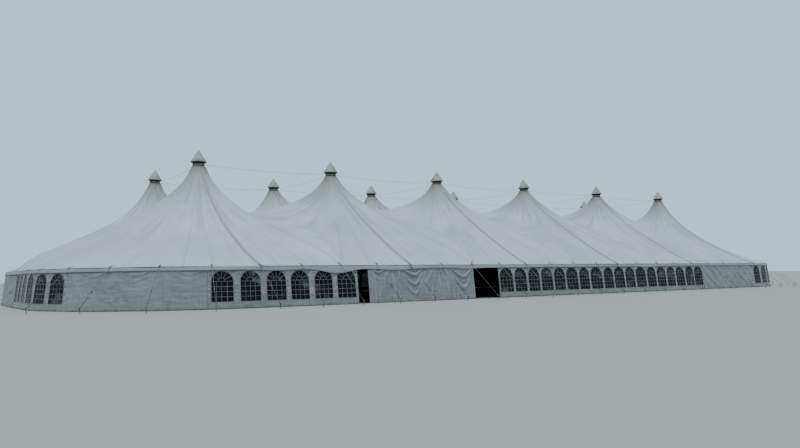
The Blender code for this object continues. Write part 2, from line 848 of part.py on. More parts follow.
membrane = roof_heights()
last_pole_index = POLES_IN_ROW - 1
first_x, last_x = pole_x(0), pole_x(last_pole_index)
roof_section("roof_left_end", [(0, -1)], [(first_x, -1)], membrane, roof_cloth)
for bay in range(last_pole_index):
    roof_section(
        f"roof_bay_{bay + 1}",
        [(bay, 1), (bay + 1, -1)],
        [(pole_x(bay), 1), (pole_x(bay + 1), -1)],
        membrane,
        roof_cloth,
    )
roof_section("roof_right_end", [(last_pole_index, 1)], [(last_x, 1)], membrane, roof_cloth)

for row_name, row_y in (("front", -ROW_OFFSET), ("back", ROW_OFFSET)):
    for pole_number in range(POLES_IN_ROW):
        king_pole(f"king_pole_{row_name}_{pole_number + 1}", pole_number, row_y, pole_steel)
        pole_hat(f"pole_hat_{row_name}_{pole_number + 1}", pole_x(pole_number), row_y, hat_metal)
head_cables("head_cables", cable_steel)

back_middle = PERIMETER / 2
back_windows_start = back_middle - BACK_WINDOWS_WIDTH / 2
back_windows_end = back_middle + BACK_WINDOWS_WIDTH / 2
right_corner_stop = ROW_LENGTH / 2 + CORNER_LENGTH
right_end_stop = right_corner_stop + END_LENGTH
back_start = right_end_stop + CORNER_LENGTH
left_windows_start = LEFT_DRAPE_LENGTH - right_end_stop
left_windows_end = -ROW_LENGTH / 2 - CORNER_LENGTH * (1 - LEFT_WINDOWS_ANGLE / 90)
plain_walls = {
    "wall_left_drape": (-right_end_stop, left_windows_start),
    "wall_front_left_corner": (left_windows_end, FRONT_WINDOWS_START),
    "wall_front_curtain": (DOOR_ONE_END, DOOR_TWO_START),
    "wall_front_right_plain": (FRONT_WINDOWS_END, CORNER_WINDOWS_START),
    "wall_right_end": (right_corner_stop, right_end_stop),
    "wall_back_right_corner": (right_end_stop, back_start),
    "wall_back_right_plain": (back_start, back_windows_start),
    "wall_back_left_plain": (back_windows_end, PERIMETER - back_start),
    "wall_back_left_corner": (-back_start, -right_end_stop),
}
window_walls = {
    "left_windows": (left_windows_start, left_windows_end, END_WINDOWS),
    "front_left_windows": (FRONT_WINDOWS_START, DOOR_ONE_START, END_WINDOWS),
    "front_right_windows": (DOOR_TWO_END, FRONT_WINDOWS_END, LONG_WINDOWS),
    "right_corner_windows": (CORNER_WINDOWS_START, CORNER_WINDOWS_END, END_WINDOWS),
    "back_windows": (back_windows_start, back_windows_end, LONG_WINDOWS),
}
films = {
    "film_left_end_windows": (left_windows_start, -right_corner_stop),
    "film_left_corner_windows": (-right_corner_stop, left_windows_end),
    "film_front_left_windows": (FRONT_WINDOWS_START, DOOR_ONE_START),
    "film_front_right_windows": (DOOR_TWO_END, FRONT_WINDOWS_END),
    "film_right_corner_windows": (CORNER_WINDOWS_START, CORNER_WINDOWS_END),
    "film_back_windows": (back_windows_start, back_windows_end),
}
seam = GAP / 2
wall_patterns = {}
for wall_name, (wall_start, wall_end) in plain_walls.items():
    wall_patterns[wall_name] = plain_pattern(wall_start + seam, wall_end - seam)
for run_name, (run_start, run_end, window_count) in window_walls.items():
    wall_patterns[f"wall_{run_name}"] = window_pattern(run_start + seam, run_end - seam, window_count)
# The cloth with the right corner's windows goes on, plain, to where the straight end wall begins.
wall_patterns["wall_right_corner_windows"] += plain_pattern(CORNER_WINDOWS_END - seam, right_corner_stop - seam)
for wall_name, pattern in wall_patterns.items():
    wall_sheet(wall_name, pattern, 0.0, WALL_THICKNESS, wall_cloth)
for film_name, (film_start, film_end) in films.items():
    film = film_pattern(film_start + seam, film_end - seam)
    wall_sheet(film_name, film, WALL_THICKNESS + GAP, FILM_THICKNESS, clear_film)

for side_name, pole_places in side_pole_distances().items():
    side_poles(f"side_poles_{side_name}", pole_places, pole_steel)
    guys(f"guys_{side_name}", pole_places, strap_webbing)
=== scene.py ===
import math

import bmesh
import bpy
import numpy as np
from mathutils import Matrix, Vector


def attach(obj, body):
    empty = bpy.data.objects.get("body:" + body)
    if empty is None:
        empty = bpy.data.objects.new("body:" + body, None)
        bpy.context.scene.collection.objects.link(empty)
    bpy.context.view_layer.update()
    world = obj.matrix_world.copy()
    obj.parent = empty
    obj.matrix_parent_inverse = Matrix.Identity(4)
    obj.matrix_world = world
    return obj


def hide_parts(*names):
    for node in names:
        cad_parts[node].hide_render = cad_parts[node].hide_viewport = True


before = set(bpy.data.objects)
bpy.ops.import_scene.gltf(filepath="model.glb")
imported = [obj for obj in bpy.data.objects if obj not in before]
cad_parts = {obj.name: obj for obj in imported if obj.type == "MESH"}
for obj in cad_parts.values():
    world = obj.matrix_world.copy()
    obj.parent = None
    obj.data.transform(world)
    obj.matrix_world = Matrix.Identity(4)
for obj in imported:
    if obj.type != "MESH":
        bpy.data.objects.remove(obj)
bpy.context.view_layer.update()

# Camera, light and floor. The camera stands before the left end of the front at eye height, which is half
# the real height because the model is half size, and looks along the tent to the right. The light is that
# of a grey day: soft, from above, with a pale floor under it.
LENS = 31.62
CAMERA_PLACE = Vector((-20.31, -25.235, 0.8))
CAMERA_YAW = math.radians(35.015)
CAMERA_PITCH = math.radians(4.202)
CAMERA_ROLL = math.radians(-0.919)
VIEW_RANGE = 800.0
SKY_COLOUR, SKY_STRENGTH = (0.66, 0.75, 0.84, 1.0), 0.55
BACKDROP_COLOUR, BACKDROP_STRENGTH = (0.6, 0.84, 0.97, 1.0), 1.06
SUN_COLOUR, SUN_ENERGY = (0.88, 0.95, 1.0), 2.4
SUN_SOFTNESS = math.radians(60)
SUN_TURN = (math.radians(12), math.radians(-10), 0)
FLOOR_COLOUR = (0.42, 0.43, 0.42, 1.0)
FLOOR_RADIUS = 420.0
FLOOR_SIDES = 96
FLOOR_DROP = 0.002


def link(obj):
    bpy.context.scene.collection.objects.link(obj)
    return obj


def feed(tree, slot, value):
    """Join a socket to an input, or set the input to a plain value."""
    if isinstance(value, bpy.types.NodeSocket):
        tree.links.new(value, slot)
    elif value is not None:
        slot.default_value = value


def add_node(tree, kind, inputs=None, **settings):
    """Node with its settings; its inputs are given by name or number, as sockets or values."""
    node = tree.nodes.new(kind)
    for label, value in settings.items():
        setattr(node, label, value)
    for label, value in (inputs or {}).items():
        feed(tree, node.inputs[label], value)
    return node


def new_material(name, **values):
    """Principled material with plain socket values; gives the material, its tree and its surface node."""
    material = bpy.data.materials.new(name)
    material.use_nodes = True
    surface = material.node_tree.nodes["Principled BSDF"]
    for label, value in values.items():
        surface.inputs[label.replace("_", " ")].default_value = value
    return material, material.node_tree, surface


def circle(centre, radius, height, sides):
    """Points of a level circle."""
    x, y = centre
    turns = [2 * math.pi * i / sides for i in range(sides)]
    return [(x + radius * math.cos(turn), y + radius * math.sin(turn), height) for turn in turns]


def mesh_object(name, points, faces=(), edges=(), material=None, smooth=True):
    """Object at the origin from points, faces and edges."""
    mesh = bpy.data.meshes.new(name)
    places = [tuple(map(float, point)) for point in points]
    mesh.from_pydata(places, [tuple(edge) for edge in edges], [tuple(face) for face in faces])
    if material is not None:
        mesh.materials.append(material)
    mesh.polygons.foreach_set("use_smooth", [smooth] * len(mesh.polygons))
    return link(bpy.data.objects.new(name, mesh))


camera = link(bpy.data.objects.new("camera", bpy.data.cameras.new("camera")))
camera.data.lens = LENS
camera.data.clip_end = VIEW_RANGE
level_forward = Vector((math.sin(CAMERA_YAW), math.cos(CAMERA_YAW), 0))
level_right = Vector((math.cos(CAMERA_YAW), -math.sin(CAMERA_YAW), 0))
forward = math.cos(CAMERA_PITCH) * level_forward + Vector((0, 0, math.sin(CAMERA_PITCH)))
level_up = level_right.cross(forward)
camera_right = math.cos(CAMERA_ROLL) * level_right + math.sin(CAMERA_ROLL) * level_up
camera_up = math.cos(CAMERA_ROLL) * level_up - math.sin(CAMERA_ROLL) * level_right
turn = Matrix((camera_right, camera_up, -forward)).transposed().to_4x4()
camera.matrix_world = Matrix.Translation(CAMERA_PLACE) @ turn
bpy.context.scene.camera = camera

world = bpy.data.worlds.new("grey_day")
world.use_nodes = True
sky = world.node_tree
world_light = sky.nodes["Background"]
feed(sky, world_light.inputs["Color"], SKY_COLOUR)
feed(sky, world_light.inputs["Strength"], SKY_STRENGTH)
backdrop = add_node(sky, "ShaderNodeBackground", {"Color": BACKDROP_COLOUR, "Strength": BACKDROP_STRENGTH})
straight_view = add_node(sky, "ShaderNodeLightPath").outputs["Is Camera Ray"]
seen_or_lit = add_node(
    sky, "ShaderNodeMixShader", {"Fac": straight_view, 1: world_light.outputs[0], 2: backdrop.outputs[0]}
)
feed(sky, sky.nodes["World Output"].inputs["Surface"], seen_or_lit.outputs[0])
bpy.context.scene.world = world

sky_light = link(bpy.data.objects.new("sky_light", bpy.data.lights.new("sky_light", "SUN")))
sky_light.data.energy = SUN_ENERGY
sky_light.data.angle = SUN_SOFTNESS
sky_light.data.color = SUN_COLOUR
sky_light.rotation_euler = SUN_TURN

floor_paint, _, _ = new_material("floor_paint", Base_Color=FLOOR_COLOUR, Roughness=0.9)
floor_edge = circle((0, 0), FLOOR_RADIUS, -FLOOR_DROP, FLOOR_SIDES)
floor = mesh_object("floor", floor_edge, [range(FLOOR_SIDES)], material=floor_paint, smooth=False)

# Side poles. Galvanised tubes stand round the tent just inside the wall, each on a foot plate and with a
# pin through the eave rail that joins their heads.
POLES_IN_ROW = 6
POLE_PITCH = 5.0
ROW_HALF = (POLES_IN_ROW - 1) * POLE_PITCH / 2
ROW_OFFSET = 2.5
CORNER_RADIUS = 5.0
CORNER_LENGTH = CORNER_RADIUS * math.pi / 2
END_LENGTH = 2 * ROW_OFFSET
PERIMETER = 4 * ROW_HALF + 2 * END_LENGTH + 4 * CORNER_LENGTH
# Each leg of the eave: its length, the corner centre it starts from, its outward angle and if it curves.
EAVE_LEGS = (
    (2 * ROW_HALF, (-ROW_HALF, -ROW_OFFSET), -90, False),
    (CORNER_LENGTH, (ROW_HALF, -ROW_OFFSET), -90, True),
    (END_LENGTH, (ROW_HALF, -ROW_OFFSET), 0, False),
    (CORNER_LENGTH, (ROW_HALF, ROW_OFFSET), 0, True),
    (2 * ROW_HALF, (ROW_HALF, ROW_OFFSET), 90, False),
    (CORNER_LENGTH, (-ROW_HALF, ROW_OFFSET), 90, True),
    (END_LENGTH, (-ROW_HALF, ROW_OFFSET), 180, False),
    (CORNER_LENGTH, (-ROW_HALF, -ROW_OFFSET), 180, True),
)
SIDE_POLE_PITCH = 1.25
SIDE_POLES_IN_CORNER = 6
SIDE_POLE_RADIUS = 0.0172
SIDE_POLE_SIDES = 12
SIDE_POLE_INSET = 0.0285
FOOT_WIDTH = 0.09
FOOT_THICKNESS = 0.006
FOOT_SOCKET_RADIUS = 1.25 * SIDE_POLE_RADIUS
FOOT_SOCKET_TOP = 0.05
HEAD_SLEEVE_RADIUS = 1.2 * SIDE_POLE_RADIUS
HEAD_SLEEVE_LENGTH = 0.06
PIN_RADIUS = 0.5 * SIDE_POLE_RADIUS
PIN_SHORT = 0.004
BEVEL = 0.002
RAIL_TOP = 1.1187
RAIL_HEIGHT = 0.03
RAIL_WIDTH = 0.012
RAIL_INSET = 0.0165
RAIL_STEPS_IN_BAY = 4


def eave_line(distance):
    """Plan points and outward directions on the eave, by distance to the right of the front's middle."""
    along = np.mod(np.atleast_1d(np.asarray(distance, float)) + ROW_HALF, PERIMETER)
    points = np.zeros((len(along), 2))
    outward = np.zeros((len(along), 2))
    begin = 0.0
    for length, centre, degrees, curved in EAVE_LEGS:
        inside = (along >= begin) & (along <= begin + length)
        run = along[inside] - begin
        angle = math.radians(degrees) + (run / CORNER_RADIUS if curved else 0 * run)
        normal = np.stack([np.cos(angle), np.sin(angle)], axis=1)
        place = np.array(centre) + CORNER_RADIUS * normal
        if not curved:
            place += run[:, None] * np.stack([-np.sin(angle), np.cos(angle)], axis=1)
        points[inside] = place
        outward[inside] = normal
        begin += length
    return points, outward


def eave_places(distance, outset, height):
    """Points in space beside the eave, as an array of x, y and z."""
    points, outward = eave_line(distance)
    outset = np.broadcast_to(np.asarray(outset, float), (len(points),))
    height = np.broadcast_to(np.asarray(height, float), (len(points),))
    return np.column_stack([points + outset[:, None] * outward, height])


def side_pole_places():
    """Distances of the side poles along the eave, one list for each side of the tent."""
    front = [-ROW_HALF + SIDE_POLE_PITCH * i for i in range(round(2 * ROW_HALF / SIDE_POLE_PITCH) + 1)]
    step = CORNER_LENGTH / SIDE_POLES_IN_CORNER
    first_corner = [ROW_HALF + step * i for i in range(1, SIDE_POLES_IN_CORNER)]
    end_start = ROW_HALF + CORNER_LENGTH
    end = [end_start + SIDE_POLE_PITCH * i for i in range(round(END_LENGTH / SIDE_POLE_PITCH) + 1)]
    second_corner = [end[-1] + step * i for i in range(1, SIDE_POLES_IN_CORNER)]
    right = first_corner + end + second_corner
    across = PERIMETER / 2
    back, left = ([place + across for place in side] for side in (front, right))
    return {"front": front, "right": right, "back": back, "left": left}


def geometry_tree(name, sizes):
    """Geometry node tree with named inputs; gives the tree and what goes in."""
    tree = bpy.data.node_groups.new(name, "GeometryNodeTree")
    for label, kind in {"Geometry": "Geometry", **sizes, "Material": "Material"}.items():
        tree.interface.new_socket(label, in_out="INPUT", socket_type=f"NodeSocket{kind}")
    tree.interface.new_socket("Geometry", in_out="OUTPUT", socket_type="NodeSocketGeometry")
    return tree, tree.nodes.new("NodeGroupInput").outputs


def end_tree(tree, given, geometry):
    """End a geometry tree: copies become real and take the given material."""
    real = add_node(tree, "GeometryNodeRealizeInstances", {"Geometry": geometry}).outputs[0]
    paint = add_node(tree, "GeometryNodeSetMaterial", {"Geometry": real, "Material": given["Material"]})
    add_node(tree, "NodeGroupOutput", {"Geometry": paint.outputs[0]})
    return tree


def made_by(tree, name, source, settings, smooth=None):
    """Run a geometry node tree on an object and keep the result as a plain mesh in its place."""
    modifier = source.modifiers.new(tree.name, "NODES")
    modifier.node_group = tree
    for item in tree.interface.items_tree:
        if item.in_out == "INPUT" and item.name in settings:
            modifier[item.identifier] = settings[item.name]
    evaluated = source.evaluated_get(bpy.context.evaluated_depsgraph_get())
    mesh = bpy.data.meshes.new_from_object(evaluated)
    source.modifiers.remove(modifier)
    bpy.data.objects.remove(source, do_unlink=True)
    mesh.name = name
    if smooth is not None:
        mesh.polygons.foreach_set("use_smooth", [smooth] * len(mesh.polygons))
    return link(bpy.data.objects.new(name, mesh))


def vector_math(tree, operation, first, second):
    """Vector Math node of two inputs; gives its output."""
    other = "Scale" if operation == "SCALE" else 1
    return add_node(tree, "ShaderNodeVectorMath", {0: first, other: second}, operation=operation).outputs[0]


def copies_tree():
    """Tree that sets a copy of a shape on each point, turned and stretched by the point's attributes."""
    sizes = {"Shape": "Object", "Scale": "Float", "Wobble": "Float", "Seed": "Int"}
    tree, given = geometry_tree("copies_on_points", sizes)
    shape = add_node(tree, "GeometryNodeObjectInfo", {"Object": given["Shape"]})
    kind = "GeometryNodeInputNamedAttribute"
    turn_value, size_value = (
        add_node(tree, kind, {"Name": label}, data_type="FLOAT_VECTOR").outputs[0]
        for label in ("turn", "stretch")
    )
    limits = {"Min": (-1, -1, -1), "Max": (1, 1, 1), "Seed": given["Seed"]}
    chance = add_node(tree, "FunctionNodeRandomValue", limits, data_type="FLOAT_VECTOR").outputs["Value"]
    turned = vector_math(tree, "ADD", turn_value, vector_math(tree, "SCALE", chance, given["Wobble"]))
    inputs = {
        "Points": given["Geometry"],
        "Instance": shape.outputs["Geometry"],
        "Rotation": add_node(tree, "FunctionNodeEulerToRotation", {"Euler": turned}).outputs[0],
        "Scale": vector_math(tree, "SCALE", size_value, given["Scale"]),
    }
    return end_tree(tree, given, add_node(tree, "GeometryNodeInstanceOnPoints", inputs).outputs[0])


COPIES = copies_tree()


def copies(name, shape, places, turns, material, wobble=0.0, seed=1):
    """One object made of a flat-faced copy of the shape at each place; turns are Euler angles."""
    source = mesh_object(f"{name}_points", places)
    for label, values in (("turn", turns), ("stretch", np.ones((len(places), 3)))):
        attribute = source.data.attributes.new(label, "FLOAT_VECTOR", "POINT")
        attribute.data.foreach_set("vector", np.asarray(values, float).reshape(-1))
    settings = {"Shape": shape, "Scale": 1.0, "Wobble": wobble, "Seed": seed, "Material": material}
    made = made_by(COPIES, name, source, settings, smooth=False)
    bpy.data.objects.remove(shape, do_unlink=True)
    return made


def line_tree(name, flat):
    """Tree that sweeps a round or a flat section along the edges of a mesh."""
    sizes = {"Width": "Float", "Thickness": "Float"} if flat else {"Radius": "Float", "Sides": "Int"}
    tree, given = geometry_tree(name, sizes)
    curve = add_node(tree, "GeometryNodeMeshToCurve", {"Mesh": given["Geometry"]}).outputs[0]
    mode = "Z_UP" if flat else "MINIMUM_TWIST"
    upright = add_node(tree, "GeometryNodeSetCurveNormal", {"Curve": curve}, mode=mode).outputs[0]
    if flat:
        inputs = {"Width": given["Width"], "Height": given["Thickness"]}
        section = add_node(tree, "GeometryNodeCurvePrimitiveQuadrilateral", inputs)
    else:
        inputs = {"Radius": given["Radius"], "Resolution": given["Sides"]}
        section = add_node(tree, "GeometryNodeCurvePrimitiveCircle", inputs)
    inputs = {"Curve": upright, "Profile Curve": section.outputs[0], "Fill Caps": True}
    return end_tree(tree, given, add_node(tree, "GeometryNodeCurveToMesh", inputs).outputs[0])


STRAP_LINES = line_tree("strap_along_lines", flat=True)


def along_lines(tree, name, paths, settings, smooth):
    """Run a line tree on several open paths."""
    points, edges = [], []
    for path in paths:
        first = len(points)
        points.extend(path)
        edges.extend((first + i, first + i + 1) for i in range(len(path) - 1))
    return made_by(tree, name, mesh_object(f"{name}_lines", points, edges=edges), settings, smooth)


def straps(name, paths, width, thickness, material):
    settings = {"Width": width, "Thickness": thickness, "Material": material}
    return along_lines(STRAP_LINES, name, paths, settings, smooth=False)


def math_node(tree, operation, first, second=None, third=None):
    """Math node fed by sockets or numbers; gives its output."""
    return add_node(tree, "ShaderNodeMath", {0: first, 1: second, 2: third}, operation=operation).outputs[0]


def times(tree, first, second, more=None):
    """Product of two values, with a third added where it is given."""
    return math_node(tree, "MULTIPLY" if more is None else "MULTIPLY_ADD", first, second, more)


def rise(tree, value, low, high):
    """Mask that rises smoothly from 0 at low to 1 at high."""
    inputs = {"Value": value, "From Min": low, "From Max": high}
    return add_node(tree, "ShaderNodeMapRange", inputs, interpolation_type="SMOOTHSTEP").outputs[0]


def mixed_colour(tree, mask, first, second):
    """Mix two colours, each a socket or a value, by a mask."""
    first, second = (
        colour if isinstance(colour, bpy.types.NodeSocket) else (*colour, 1.0) for colour in (first, second)
    )
    return add_node(tree, "ShaderNodeMix", {"Factor": mask, 6: first, 7: second}, data_type="RGBA").outputs[2]


def tinted(tree, base, tints):
    """Lay colours over a base one after another, each given as (mask, share, colour)."""
    for mask, share, colour in tints:
        base = mixed_colour(tree, times(tree, mask, share), base, colour)
    return base


def noise(tree, vector, scale, detail, roughness):
    inputs = {"Scale": scale, "Detail": detail, "Roughness": roughness, "Vector": vector}
    return add_node(tree, "ShaderNodeTexNoise", inputs).outputs["Fac"]


def shader_group(name, inputs):
    """Shader node group with named inputs and their usual values; gives the group and what goes in."""
    group = bpy.data.node_groups.new(name, "ShaderNodeTree")
    for label, value in inputs.items():
        kind = "NodeSocketVector" if isinstance(value, tuple) else "NodeSocketFloat"
        group.interface.new_socket(label, in_out="INPUT", socket_type=kind).default_value = value
    return group, group.nodes.new("NodeGroupInput").outputs


def end_group(group, outputs):
    """End a shader group with its named outputs, all of them masks or heights."""
    for label in outputs:
        group.interface.new_socket(label, in_out="OUTPUT", socket_type="NodeSocketFloat")
    add_node(group, "NodeGroupOutput", outputs)
    return group


def blotches_group():
    """Uneven colour and gloss over a surface: large blotches and finer specks, as masks and a height."""
    group, given = shader_group("blotches", {"Vector": (0, 0, 0), "Blotch Scale": 1.0, "Speck Scale": 8.0})
    large, fine = (
        noise(group, given["Vector"], given[label], 4.0, 0.5) for label in ("Blotch Scale", "Speck Scale")
    )
    outputs = {
        "Blotch": rise(group, large, 0.38, 0.66),
        "Speck": rise(group, fine, 0.5, 0.7),
        "Height": math_node(group, "ADD", large, fine),
    }
    return end_group(group, outputs)


BLOTCHES = blotches_group()


def use_group(tree, group, inputs):
    """Place a node group fed by its named inputs; gives its outputs."""
    return add_node(tree, "ShaderNodeGroup", inputs, node_tree=group).outputs


def blotched(tree, vector, large, fine):
    return use_group(tree, BLOTCHES, {"Vector": vector, "Blotch Scale": large, "Speck Scale": fine})


def object_vector(tree):
    return add_node(tree, "ShaderNodeTexCoord").outputs["Object"]


def cover(tree, surface, colour, rough, height, distance, strength=1.0):
    """Feed the colour, roughness and bump of a surface."""
    bump = add_node(tree, "ShaderNodeBump", {"Strength": strength, "Distance": distance, "Height": height})
    feed(tree, surface.inputs["Base Color"], colour)
    feed(tree, surface.inputs["Roughness"], rough)
    feed(tree, surface.inputs["Normal"], bump.outputs["Normal"])


def zinc_material(name, bright, dull, rust, rust_share):
    """Galvanised steel: dull and bright zinc in patches, with rust specks."""
    material, tree, surface = new_material(name, Metallic=0.75)
    patches = blotched(tree, object_vector(tree), 3.0, 24.0)
    zinc = mixed_colour(tree, patches["Blotch"], bright, dull)
    colour = tinted(tree, zinc, [(patches["Speck"], rust_share, rust)])
    cover(tree, surface, colour, times(tree, patches["Blotch"], 0.2, 0.42), patches["Height"], 0.0008, 0.4)
    return material


POLE_ZINC = zinc_material("pole_zinc", (0.55, 0.56, 0.57), (0.36, 0.37, 0.38), (0.22, 0.11, 0.05), 0.5)
RAIL_ZINC = zinc_material("rail_zinc", (0.48, 0.49, 0.5), (0.3, 0.31, 0.32), (0.2, 0.1, 0.05), 0.35)


def turned_shape(name, profile, sides, centre=(0.0, 0.0), material=None, smooth=True):
    """Round body from a profile of (radius, height); it is closed where it ends on the axis."""
    points, faces, rows = [], [], []
    for radius, height in profile:
        ring = circle(centre, radius, height, sides) if radius > 0 else [(*centre, height)]
        rows.append([len(points) + i % len(ring) for i in range(sides)])
        points.extend(ring)
    for low, high in zip(rows, rows[1:]):
        for i in range(sides):
            j = (i + 1) % sides
            face = list(dict.fromkeys((low[i], low[j], high[j], high[i])))
            if len(face) > 2:
                faces.append(face)
    return mesh_object(name, points, faces, material=material, smooth=smooth)


def joined(name, parts):
    """Join several mesh objects into one."""
    work = bmesh.new()
    materials = []
    for part in parts:
        first = len(materials)
        materials.extend(part.data.materials)
        start = len(work.faces)
        work.from_mesh(part.data)
        work.faces.ensure_lookup_table()
        for face in work.faces[start:]:
            face.material_index += first
    slots = list(dict.fromkeys(materials))
    for face in work.faces:
        face.material_index = slots.index(materials[face.material_index])
    mesh = bpy.data.meshes.new(name)
    work.to_mesh(mesh)
    work.free()
    for material in slots:
        mesh.materials.append(material)
    for part in parts:
        bpy.data.objects.remove(part, do_unlink=True)
    return link(bpy.data.objects.new(name, mesh))


def flat_turns(outward):
    """Euler turns that point the X axis of a copy outward in plan."""
    angles = np.arctan2(outward[:, 1], outward[:, 0])
    return np.column_stack([0 * angles, 0 * angles, angles])


SIDE_POLE_PROFILE = (
    (0, 0.0),
    (FOOT_WIDTH / 2, 0.0),
    (FOOT_WIDTH / 2, FOOT_THICKNESS),
    (FOOT_SOCKET_RADIUS, FOOT_THICKNESS),
    (FOOT_SOCKET_RADIUS, FOOT_SOCKET_TOP),
    (SIDE_POLE_RADIUS, FOOT_SOCKET_TOP + BEVEL),
    (SIDE_POLE_RADIUS, RAIL_TOP - RAIL_HEIGHT - HEAD_SLEEVE_LENGTH),
    (HEAD_SLEEVE_RADIUS, RAIL_TOP - RAIL_HEIGHT - HEAD_SLEEVE_LENGTH + BEVEL),
    (HEAD_SLEEVE_RADIUS, RAIL_TOP - RAIL_HEIGHT),
    (PIN_RADIUS, RAIL_TOP - RAIL_HEIGHT + BEVEL / 2),
    (PIN_RADIUS, RAIL_TOP - PIN_SHORT),
    (0, RAIL_TOP - PIN_SHORT),
)
side_places = side_pole_places()
for side, distances in side_places.items():
    stands = eave_places(distances, -SIDE_POLE_INSET, 0.0)
    turns = flat_turns(eave_line(distances)[1])
    tube = turned_shape("tube", SIDE_POLE_PROFILE, SIDE_POLE_SIDES)
    poles = copies(f"side_poles_{side}_tubes", tube, stands, turns, POLE_ZINC)
    run = np.linspace(distances[0], distances[-1], RAIL_STEPS_IN_BAY * (len(distances) - 1) + 1)
    rail_path = eave_places(run, -RAIL_INSET, RAIL_TOP - RAIL_HEIGHT / 2)
    rail = straps("rail", [rail_path], RAIL_WIDTH, RAIL_HEIGHT - BEVEL, RAIL_ZINC)
    row = joined(f"side_poles_{side}_row", [poles, rail])
    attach(row, "root")
    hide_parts(f"side_poles_{side}")

# King poles. Thick steel tubes carry the peaks; each has a square base plate pinned to the ground, a joint
# sleeve half way, and a head ring with a hub and spokes, on which the roof hangs.
KING_POLE_RADIUS = 0.05
KING_POLE_SIDES = 20
BASE_PLATE_WIDTH = 0.26
BASE_PLATE_THICKNESS = 0.02
CHAMFER = 0.003
SHOE_RADIUS = 1.6 * KING_POLE_RADIUS
SHOE_TOP = 0.03
SHOE_SLOPE = 0.005
SLEEVE_RADIUS = 1.18 * KING_POLE_RADIUS
SLEEVE_LOW = 2.3
SLEEVE_TOP = 2.61
SLEEVE_SLOPE = 0.01
SPIKE_RADIUS = 0.018
SPIKE_LOW = 0.12
SPIKE_SLOPE = 0.03
POLE_TOP = 5.02
RING_RADIUS = 0.22
RING_HEIGHT = 4.52
RING_TUBE_RADIUS = 0.011
RING_TUBE_INSET = 0.012
RING_HUB_RADIUS = 0.075
RING_HUB_DEPTH = 0.06
RING_HUB_SIDES = 16
RING_SPOKES = 8
SPOKE_RADIUS = 0.008
SPOKE_SIDES = 6
SPOKE_START = 0.06
SPOKE_DROP = 0.02
BOLT_PROFILE = ((0, 0), (0.016, 0), (0.016, 0.012), (0.008, 0.016), (0.008, 0.03), (0, 0.03))
BOLT_OFFSET = 0.1
BOLT_SIDES = 6
KING_POLE_PROFILE = (
    (0, BASE_PLATE_THICKNESS - BEVEL),
    (SHOE_RADIUS, BASE_PLATE_THICKNESS - BEVEL),
    (SHOE_RADIUS, SHOE_TOP),
    (KING_POLE_RADIUS, SHOE_TOP + SHOE_SLOPE),
    (KING_POLE_RADIUS, SLEEVE_LOW),
    (SLEEVE_RADIUS, SLEEVE_LOW + SLEEVE_SLOPE),
    (SLEEVE_RADIUS, SLEEVE_TOP - SLEEVE_SLOPE),
    (KING_POLE_RADIUS, SLEEVE_TOP),
    (KING_POLE_RADIUS, RING_HEIGHT + SPIKE_LOW),
    (SPIKE_RADIUS, RING_HEIGHT + SPIKE_LOW + SPIKE_SLOPE),
    (SPIKE_RADIUS, POLE_TOP),
    (0, POLE_TOP),
)
RING_HUB_PROFILE = (
    (0, RING_HEIGHT - RING_HUB_DEPTH),
    (RING_HUB_RADIUS, RING_HEIGHT - RING_HUB_DEPTH),
    (RING_HUB_RADIUS, RING_HEIGHT),
    (0, RING_HEIGHT),
)
ROPE_LINES = line_tree("rope_along_lines", flat=False)
POLE_PAINT = zinc_material("king_pole_zinc", (0.5, 0.51, 0.52), (0.3, 0.31, 0.31), (0.24, 0.12, 0.06), 0.7)
RING_RUST = zinc_material("ring_rust", (0.16, 0.12, 0.09), (0.07, 0.055, 0.045), (0.26, 0.12, 0.05), 0.9)


def ropes(name, paths, radius, sides, material):
    settings = {"Radius": radius, "Sides": sides, "Material": material}
    return along_lines(ROPE_LINES, name, paths, settings, smooth=True)


def pole_x(index):
    return index * POLE_PITCH - ROW_HALF


KING_POLES = {
    f"{row}_{index + 1}": (pole_x(index), y)
    for row, y in (("front", -ROW_OFFSET), ("back", ROW_OFFSET))
    for index in range(POLES_IN_ROW)
}


def box_shape(name, low, high, material=None, chamfer=0.0):
    """Box between two corners, with its edges taken off."""
    work = bmesh.new()
    bmesh.ops.create_cube(work, size=1.0)
    low, high = Vector(low), Vector(high)
    for vert in work.verts:
        vert.co = Vector((vert.co[k] * (high - low)[k] + (low + high)[k] / 2 for k in range(3)))
    if chamfer > 0:
        bmesh.ops.bevel(work, geom=work.edges[:], offset=chamfer, segments=1, affect="EDGES")
    mesh = bpy.data.meshes.new(name)
    work.to_mesh(mesh)
    work.free()
    if material is not None:
        mesh.materials.append(material)
    return link(bpy.data.objects.new(name, mesh))


def ring_tube(name, centre, height, radius, thickness, material, sides=32, around=8):
    """Round tube bent into a level ring."""
    points, faces = [], []
    for i in range(sides):
        angle = 2 * math.pi * i / sides
        for k in range(around):
            lift = 2 * math.pi * k / around
            reach = radius + thickness * math.cos(lift)
            x, y = centre[0] + reach * math.cos(angle), centre[1] + reach * math.sin(angle)
            points.append((x, y, height + thickness * math.sin(lift)))
            i2, k2 = (i + 1) % sides, (k + 1) % around
            faces.append((i * around + k, i2 * around + k, i2 * around + k2, i * around + k2))
    return mesh_object(name, points, faces, material=material)


